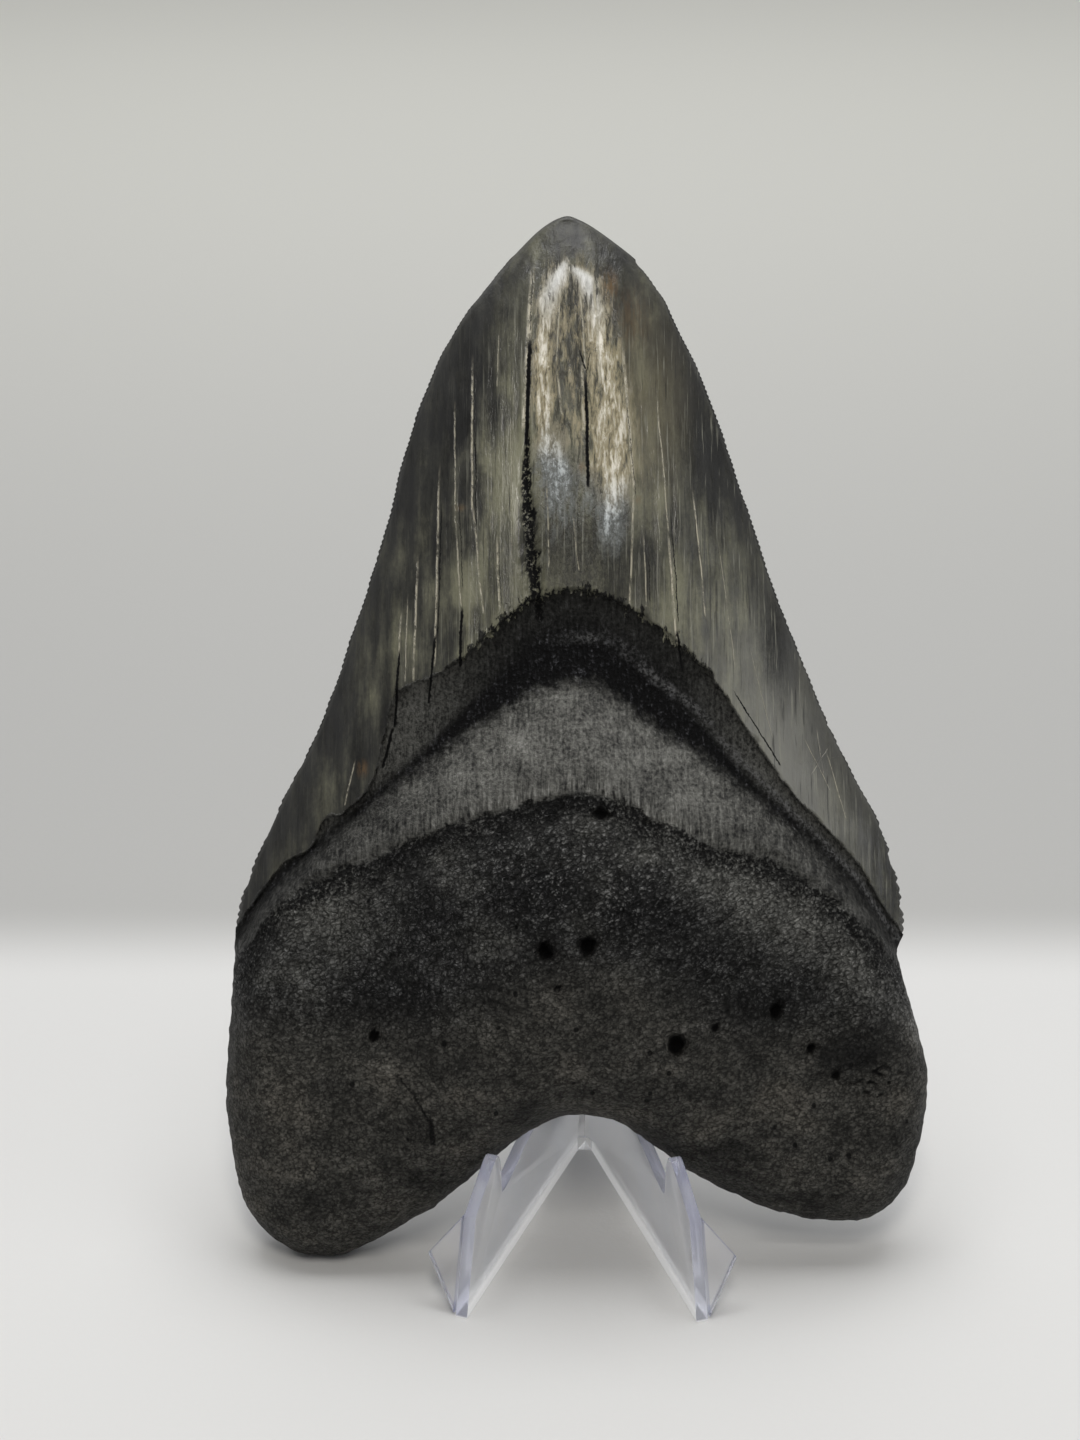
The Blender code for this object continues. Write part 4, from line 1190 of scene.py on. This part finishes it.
def band_look(g):
    """The near-black, bark-like band between enamel and dome, with painted bluish glints where its
    grain is highest.
    """
    ribs = g.noise((0.55, 1.5, 2.4), 3.0, 0.65, 0.3)
    tone = 0.6 * g.grain + 0.4 * ribs
    middle = g.ease(abs(g.x - 2.0), 10.0, 26.0, 1.0, 0.0)
    near_dome = g.ease(g.attribute("to_dome") + -3.5 * middle, 0.6, 3.0, 1.0, 0.0)
    below_enamel = g.ease(g.attribute("to_enamel"), -2.0, -7.5, 0.25, 1.0)
    dark = g.most([near_dome, middle * below_enamel])
    level = g.ease(tone, 0.36, 0.62, 0.3, 1.7) * g.blend(middle, 1.3, 0.38)
    outer = g.tinted(grey(0.048, 0.05)[:3], level)
    colour = g.mix(dark, outer, g.ramp(tone, BAND_TONES))
    ridge = g.attribute("ridge") * g.ease(g.grain, 0.42, 0.60, 0.1, 0.9)
    colour = g.mix(ridge, colour, grey(0.12))
    height = 0.55 * g.grain + 0.70 * ribs
    return colour, 0.75, height, g.ease(tone, 0.54, 0.66, 0.0, 0.4)


def dome_look(g):
    """The paler convex band with fine upright grooves and a lower lip made bright with painted
    glints.
    """
    ribs = g.noise((0.50, 1.5, 4.2), 3.0, 0.6, 0.1)
    patches = g.noise((6.0, 7.0, 3.5), 4.0, 0.62)
    to_root = g.attribute("to_root")
    # painted glints: the lower lip and the beads along it are brightened where the ribs rise
    lip = g.ease(to_root, 0.2, 1.4) * g.ease(to_root, 5.0, 2.0) * 0.6
    sideways = abs(g.x - 1.0)
    middle = g.ease(sideways, 12.0, 30.0, 1.0, 0.0)
    glint_beads = g.ease(to_root, 0.2, 0.8) * g.ease(to_root, 2.2, 1.0) * middle
    lift = 0.025 * middle + glint_beads * ((ribs - 0.44) * 0.5)
    tone = ribs * g.blend(lip, 0.24, 0.50) + g.grain * g.blend(lip, 0.50, 0.32)
    tone += patches * g.blend(lip, 0.26, 0.18) + lift
    colour = g.tinted(g.ramp(tone, DOME_TONES), g.ease(sideways, 16.0, 42.0, 1.06, 0.42))
    height = ribs * g.blend(lip, 0.30, 0.60) + 0.40 * g.grain
    return colour, 0.5, height, g.ease(tone, 0.46, 0.60, 0.05, 0.5)


def root_look(g):
    """Pebbly olive-black above, finer brown-black mottling below, with pores and cracks, painted
    shade in the relief's dips and painted glints on its tops.
    """
    crumpled = g.vector("ADD", g.cells(0.78, 0.78, 0.6), 1.8 * g.grain)
    pebbles = g.ease(g.voronoi(crumpled, feature="DISTANCE_TO_EDGE"), 0.0, 0.26)
    patches = g.noise((9.0, 9.0, 6.5), 3.0, 0.52)
    boundary = g.s + (patches - 0.5) * 16.0 + -10.0 * g.spots(SMOOTH_ROOT)
    upper = g.ease(boundary, 28.0, 40.0)
    colour = g.mix(upper, g.ramp(patches, BROWN_TONES), g.ramp(patches, OLIVE_TONES))
    colour = g.mix(0.8 * g.spots(*PALE_ROOT), colour, grey(0.115, 0.05))
    colour = g.mix(0.85 * g.spots(*DARK_ROOT), colour, grey(0.007))
    relief = 0.42 * g.grain + pebbles * g.blend(upper, 0.08, 0.12)
    relief += g.noise((1.3, 1.3, 1.0), 3.0, 0.6) * g.blend(upper, 0.30, 0.36)
    # painted shade and light: the colour is darker in the relief's dips and paler on its tops
    colour = g.tinted(colour, g.ease(relief, 0.29, 0.62, 0.22, 2.0))
    # painted glints on the relief's tops, strongest in the glinting spot
    glinting = g.blend(g.spots(GLINTING_ROOT), 0.20, 0.85)
    painted_glints = g.ease(relief, 0.50, 0.60) * g.blend(upper, 0.30, glinting)
    colour = g.mix(painted_glints, colour, grey(0.27, 0.02))
    holes = g.cells(2.6, 2.6, 3.4)
    chosen = g.node("ShaderNodeSeparateColor", {0: g.voronoi(holes, "Color")})
    pores = g.ease(g.voronoi(holes), 0.16, 0.09) * g.ease(chosen, 0.62, 0.72)
    cracks = g.lines(g.x + (g.grain - 0.5) * 1.8, ROOT_CRACKS) * g.front
    gaps = g.most([pores, cracks])
    colour = g.mix(0.9 * gaps, colour, grey(0.0015))
    height = relief * g.blend(upper, 1.0, 2.5) + -0.4 * gaps
    shine = g.ease(relief, 0.40, 0.56) * g.blend(upper, 0.12, 0.9)
    return colour, g.blend(upper, 0.62, 0.5), height, shine


def below_enamel_look(g):
    """Root, dome and band with frayed borders, and painted shade in the dark groove along the
    root's upper edge.
    """
    fray = (g.noise((1.6, 1.6, 1.3), 4.0, 0.6) - 0.5) * 1.6
    to_root = g.attribute("to_root") + fray
    to_dome = g.attribute("to_dome") + 2.2 * fray
    look = g.layer(g.ease(to_root, -0.7, 0.7), root_look(g), dome_look(g))
    look = g.layer(g.ease(to_dome, -1.5, 1.2), look, band_look(g))
    # painted shade under the dome's lip, along the root's upper edge
    below = to_root + (g.noise((4.0, 4.0, 2.4), 4.0, 0.7) - 0.5) * 5.0
    crevice_shade = g.ease(below, -6.0, -0.8) * g.ease(below, 0.5, -0.3) * 0.66
    return look, crevice_shade * g.ease(g.grain, 0.66, 0.44, 0.35, 1.0)


def tooth_material(name, has_root, has_crown):
    """The tooth's look, with only the layers that a part of its surface shows."""
    g = ToothGraph(name)
    # painted shade: dark gathers the darkening of the holes, the open crack, the scabby patch and
    # the root's upper edge, and the thin dark cracks
    recess_shade = g.attribute("recess_shade")
    shaded = recess_shade * g.ease(g.grain, 0.62, 0.50, 0.1, 1.0)
    dark = g.most([recess_shade * g.ease(g.s, 88.0, 92.0, 1.0, 0.0), shaded])
    if has_root:
        look, crevice_shade = below_enamel_look(g)
        dark = g.most([dark, crevice_shade * g.front])
    if has_crown:
        crown = enamel_look(g)
        ragged = g.wavering() + (g.grain - 0.5) * 0.5
        dark = g.most([dark, g.lines(ragged, DARK_LINES) * g.front])
        if has_root:
            frayed = g.ease(abs(g.x - 1.0), 12.0, 22.0, FRAY_HEIGHT, 1.2)
            bark = g.noise((0.9, 1.5, 2.2), 5.0, 0.72) - 0.5
            to_enamel = g.attribute("to_enamel") + bark * frayed
            crown = g.layer(g.ease(to_enamel, -0.2, 0.2), look, crown)
        look = crown
    colour, roughness, height, shine = look
    normal = g.bump(height)
    g.shade({
        "Base Color": g.mix(g.ease(dark, 0.1, 0.75), colour, grey(0.003)),
        "Roughness": g.blend(dark, roughness, 0.85),
        "Coat Weight": g.blend(dark, shine, 0.0),
        "Normal": normal,
        "Coat Normal": normal,
    })
    g.shader.inputs["Coat Roughness"].default_value = 0.22
    g.shader.inputs["Coat IOR"].default_value = 1.5
    g.shader.inputs["Specular IOR Level"].default_value = 0.12
    return g.material


def add_tooth_materials(mesh):
    """Crown, root, and both where the ragged line between them may run."""
    mesh.materials.append(tooth_material("tooth crown", False, True))
    mesh.materials.append(tooth_material("tooth root", True, False))
    mesh.materials.append(tooth_material("tooth enamel line", True, True))
    to_enamel = np.empty(len(mesh.vertices), dtype=np.float32)
    mesh.attributes["to_enamel"].data.foreach_get("value", to_enamel)
    for polygon in mesh.polygons:
        found = to_enamel[list(polygon.vertices)]
        inside = 0 if found.min() > 0.5 * FRAY_HEIGHT else 2
        polygon.material_index = 1 if found.max() < -0.5 * FRAY_HEIGHT else inside


# ---- stand
def prism_faces(sides):
    """Faces of a prism between two outlines, anticlockwise seen from the first."""
    faces = [list(range(sides))]
    for side in range(sides):
        following = (side + 1) % sides
        faces.append([side, side + sides, following + sides, following])
    faces.append(list(reversed(range(sides, 2 * sides))))
    return faces


def plate_profile():
    """Outline of one plate, as (distance from the spine, height), anticlockwise."""
    hook = smooth([FRONT_KNEE, HOOK_OUTER, HOOK_TOP, HOOK_INNER, NOTCH], 6)[1:-1]
    cradle = smooth([HOOK_INNER, NOTCH, LEDGE, CRADLE, REST_FOOT], 6)[6:-1]
    front = [(PAST_SPINE, 0.0), (PLATE_LENGTH, 0.0), FRONT_KNEE]
    rest = [REST_FOOT, REST_TOP, (PAST_SPINE, SPINE_HEIGHT)]
    return [*front, *map(tuple, hook), *map(tuple, cradle), *rest]


def plate_point(distance, outward, height):
    """A point of the right-hand plate, in the stand's own frame."""
    x = distance * math.sin(HALF_ANGLE) + outward * math.cos(HALF_ANGLE)
    y = -distance * math.cos(HALF_ANGLE) + outward * math.sin(HALF_ANGLE)
    return MM * np.array([x, y, height])


def prism(name, outline_a, outline_b):
    """Solid between two outlines with matching points, with its edges rounded."""
    made = mesh_object(name, np.array([*outline_a, *outline_b]), prism_faces(len(outline_a)))
    rounded = made.modifiers.new("rounded edges", "BEVEL")
    rounded.width = EDGE_ROUND * MM
    rounded.segments = 3
    rounded.limit_method = "ANGLE"
    rounded.angle_limit = ROUNDED_ABOVE
    return made


def build_plate():
    half = 0.5 * PLATE_THICKNESS
    outer, inner = ([plate_point(r, w, z) for r, z in plate_profile()] for w in (half, -half))
    return prism("stand_clear", outer, inner)


def build_flange():
    """Triangle beside the plate's sloping front edge."""
    slope = (PLATE_LENGTH - FRONT_KNEE[0]) / FRONT_KNEE[1]
    triangle = [(0.0, FLUSH_GAP), (FLANGE_REACH, FLANGE_HEIGHT), (0.0, FLANGE_TOP)]
    fronts = (PLATE_LENGTH - FLUSH_GAP, PLATE_LENGTH - FLUSH_GAP - FLANGE_THICKNESS)
    front, back = ([plate_point(r - slope * z, w, z) for w, z in triangle] for r in fronts)
    return prism("flange", front, back)


def build_block():
    """Block between the plates at the foot of the spine."""
    half, reach, top = SPINE_BLOCK
    plan = [(-half, -reach), (half, -reach), (half, -SPINE_BLOCK_BACK), (-half, -SPINE_BLOCK_BACK)]
    upper, lower = ([MM * np.array([x, y, z]) for x, y in plan] for z in (top, FLUSH_GAP))
    return prism("spine_block", upper, lower)


def build_stand():
    """One plate with its foot flange and half of the spine block, mirrored into a V."""
    stand = build_plate()
    added = (build_flange(), build_block())
    for part in added:
        joined = stand.modifiers.new(f"with {part.name}", "BOOLEAN")
        joined.operation = "UNION"
        joined.solver = "EXACT"
        joined.object = part
    mirror = stand.modifiers.new("both plates", "MIRROR")
    mirror.use_axis[0] = True
    mirror.use_bisect_axis[0] = True
    mirror.merge_threshold = MERGE_REACH * MM
    stand.rotation_euler.z = STAND_TURN
    apply_modifiers(stand)
    mark_edges(stand.data)
    for part in added:
        bpy.data.objects.remove(part, do_unlink=True)
    places = np.array([stand.matrix_world @ v.co for v in stand.data.vertices])
    stand.matrix_world.identity()
    stand.rotation_euler.z = 0.0
    stand.data.vertices.foreach_set("co", set_on_node(places, "stand").ravel())
    stand.data.update()
    stand.data.set_sharp_from_angle(angle=SHARP_ABOVE)
    for look in STAND_LOOKS:
        stand.data.materials.append(stand_material(*look))
    return stand


def apply_modifiers(made):
    bpy.context.view_layer.update()
    graph = bpy.context.evaluated_depsgraph_get()
    mesh = bpy.data.meshes.new_from_object(made.evaluated_get(graph))
    made.modifiers.clear()
    made.data = mesh


def mark_edges(mesh):
    """Gives a stand in its own frame its materials: plates, narrow edges and flanges."""
    for polygon in mesh.polygons:
        side = math.copysign(1.0, polygon.center.x)
        outward = Vector((side * math.cos(HALF_ANGLE), math.sin(HALF_ANGLE), 0.0))
        forward = Vector((side * math.sin(HALF_ANGLE), -math.cos(HALF_ANGLE), 0.0))
        offset = abs(polygon.center.dot(outward)) / MM
        broad = outward if offset < 0.5 * PLATE_THICKNESS + 0.05 else forward
        face = 0 if broad is outward else 2
        polygon.material_index = face if abs(polygon.normal.dot(broad)) > 0.8 else 1


def stand_material(name, tint, brighter, transmission, ior, foot):
    """Clear moulded plastic, with a painted glow along the foot: whiter, less clear and faintly
    emitting, where light gathers.
    """
    g = Graph(name)
    _, _, z = g.split(g.place)
    smear = g.noise((6.0, 6.0, 11.0), 2.0, 0.5)
    clear = g.ease(z, *foot)
    body = g.mix(g.ease(smear, 0.35, 0.65), tint, brighter)
    g.shade({
        "Base Color": g.mix(clear, STAND_FOOT_GLOW, body),
        "Roughness": g.ease(smear, 0.35, 0.7, 0.04, 0.12),
        "Transmission Weight": g.blend(clear, 0.25, transmission),
        "Normal": g.bump(0.03 * smear),
        # painted glow: the foot emits a faint white light, standing in for light gathered in the
        # plastic
        "Emission Color": g.mix(clear, (1.0, 1.0, 1.0, 1.0), (0.0, 0.0, 0.0, 1.0)),
    })
    g.shader.inputs["Emission Strength"].default_value = 0.16
    g.shader.inputs["IOR"].default_value = ior
    return g.material


# ---- stage, lights, camera
def build_floor():
    """One flat card, whose tone changes behind the tooth as the photo's background does."""
    corners = [(-1, -1), (1, -1), (1, 1), (-1, 1)]
    places = np.array([(FLOOR_HALF * x, FLOOR_HALF * y, 0.0) for x, y in corners])
    floor = mesh_object("floor", places, [[0, 1, 2, 3]])
    g = Graph("pale card")
    _, y, _ = g.split(g.place)
    near, turned, far = FLOOR_TONES
    # painted shade: the card turns darker behind the tooth and pale again far away
    behind = g.ease(y, *FLOOR_TURN)
    away = g.ease(y, FLOOR_TURN[1], FLOOR_FAR)
    colour = g.mix(behind, near, g.mix(away, turned, far))
    fibres = g.noise((0.8, 0.8, 0.8), 4.0, 0.6)
    g.shade({
        "Base Color": g.mix(g.ease(fibres, 0.3, 0.7, 0.0, 0.03), colour, grey(0.6)),
        "Normal": g.bump(0.03 * fibres),
    })
    g.shader.inputs["Roughness"].default_value = 0.6
    floor.data.materials.append(g.material)


def build_lights():
    for name, place, target, size, watts, colour in LIGHTS:
        light = bpy.data.lights.new(name, "AREA")
        light.shape = "RECTANGLE"
        light.size, light.size_y = size
        light.energy = watts
        light.color = colour
        made = link_new(name, light)
        made.location = place
        towards = Vector(target) - Vector(place)
        made.rotation_euler = towards.to_track_quat("-Z", "Y").to_euler()
    world = bpy.data.worlds.new("studio")
    world.use_nodes = True
    sky = world.node_tree.nodes["Background"]
    sky.inputs["Color"].default_value = WORLD_COLOUR
    sky.inputs["Strength"].default_value = WORLD_STRENGTH
    bpy.context.scene.world = world


def build_camera():
    """Looks straight at the tooth's own plane, from in front and above."""
    along_tooth = Vector((0.0, math.sin(LEAN), math.cos(LEAN)))
    out_of_tooth = Vector((0.0, -math.cos(LEAN), math.sin(LEAN)))
    aim = Vector(PLANE_FOOT) + Vector((AIM_OFFSET[0], 0.0, 0.0)) + AIM_OFFSET[1] * along_tooth
    camera = bpy.data.cameras.new("camera")
    camera.sensor_width = 36.0
    camera.lens = LENS
    camera.clip_start = 0.01
    made = link_new("camera", camera)
    made.location = MM * (aim + CAMERA_DISTANCE * out_of_tooth)
    made.rotation_euler = (-out_of_tooth).to_track_quat("-Z", "Y").to_euler()
    bpy.context.scene.camera = made


def main():
    for piece, node in ((build_tooth(), "tooth"), (build_stand(), "stand")):
        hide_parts(node)
        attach(piece, "root")
    build_floor()
    build_lights()
    build_camera()
    bpy.context.scene.view_settings.view_transform = "Standard"


main()
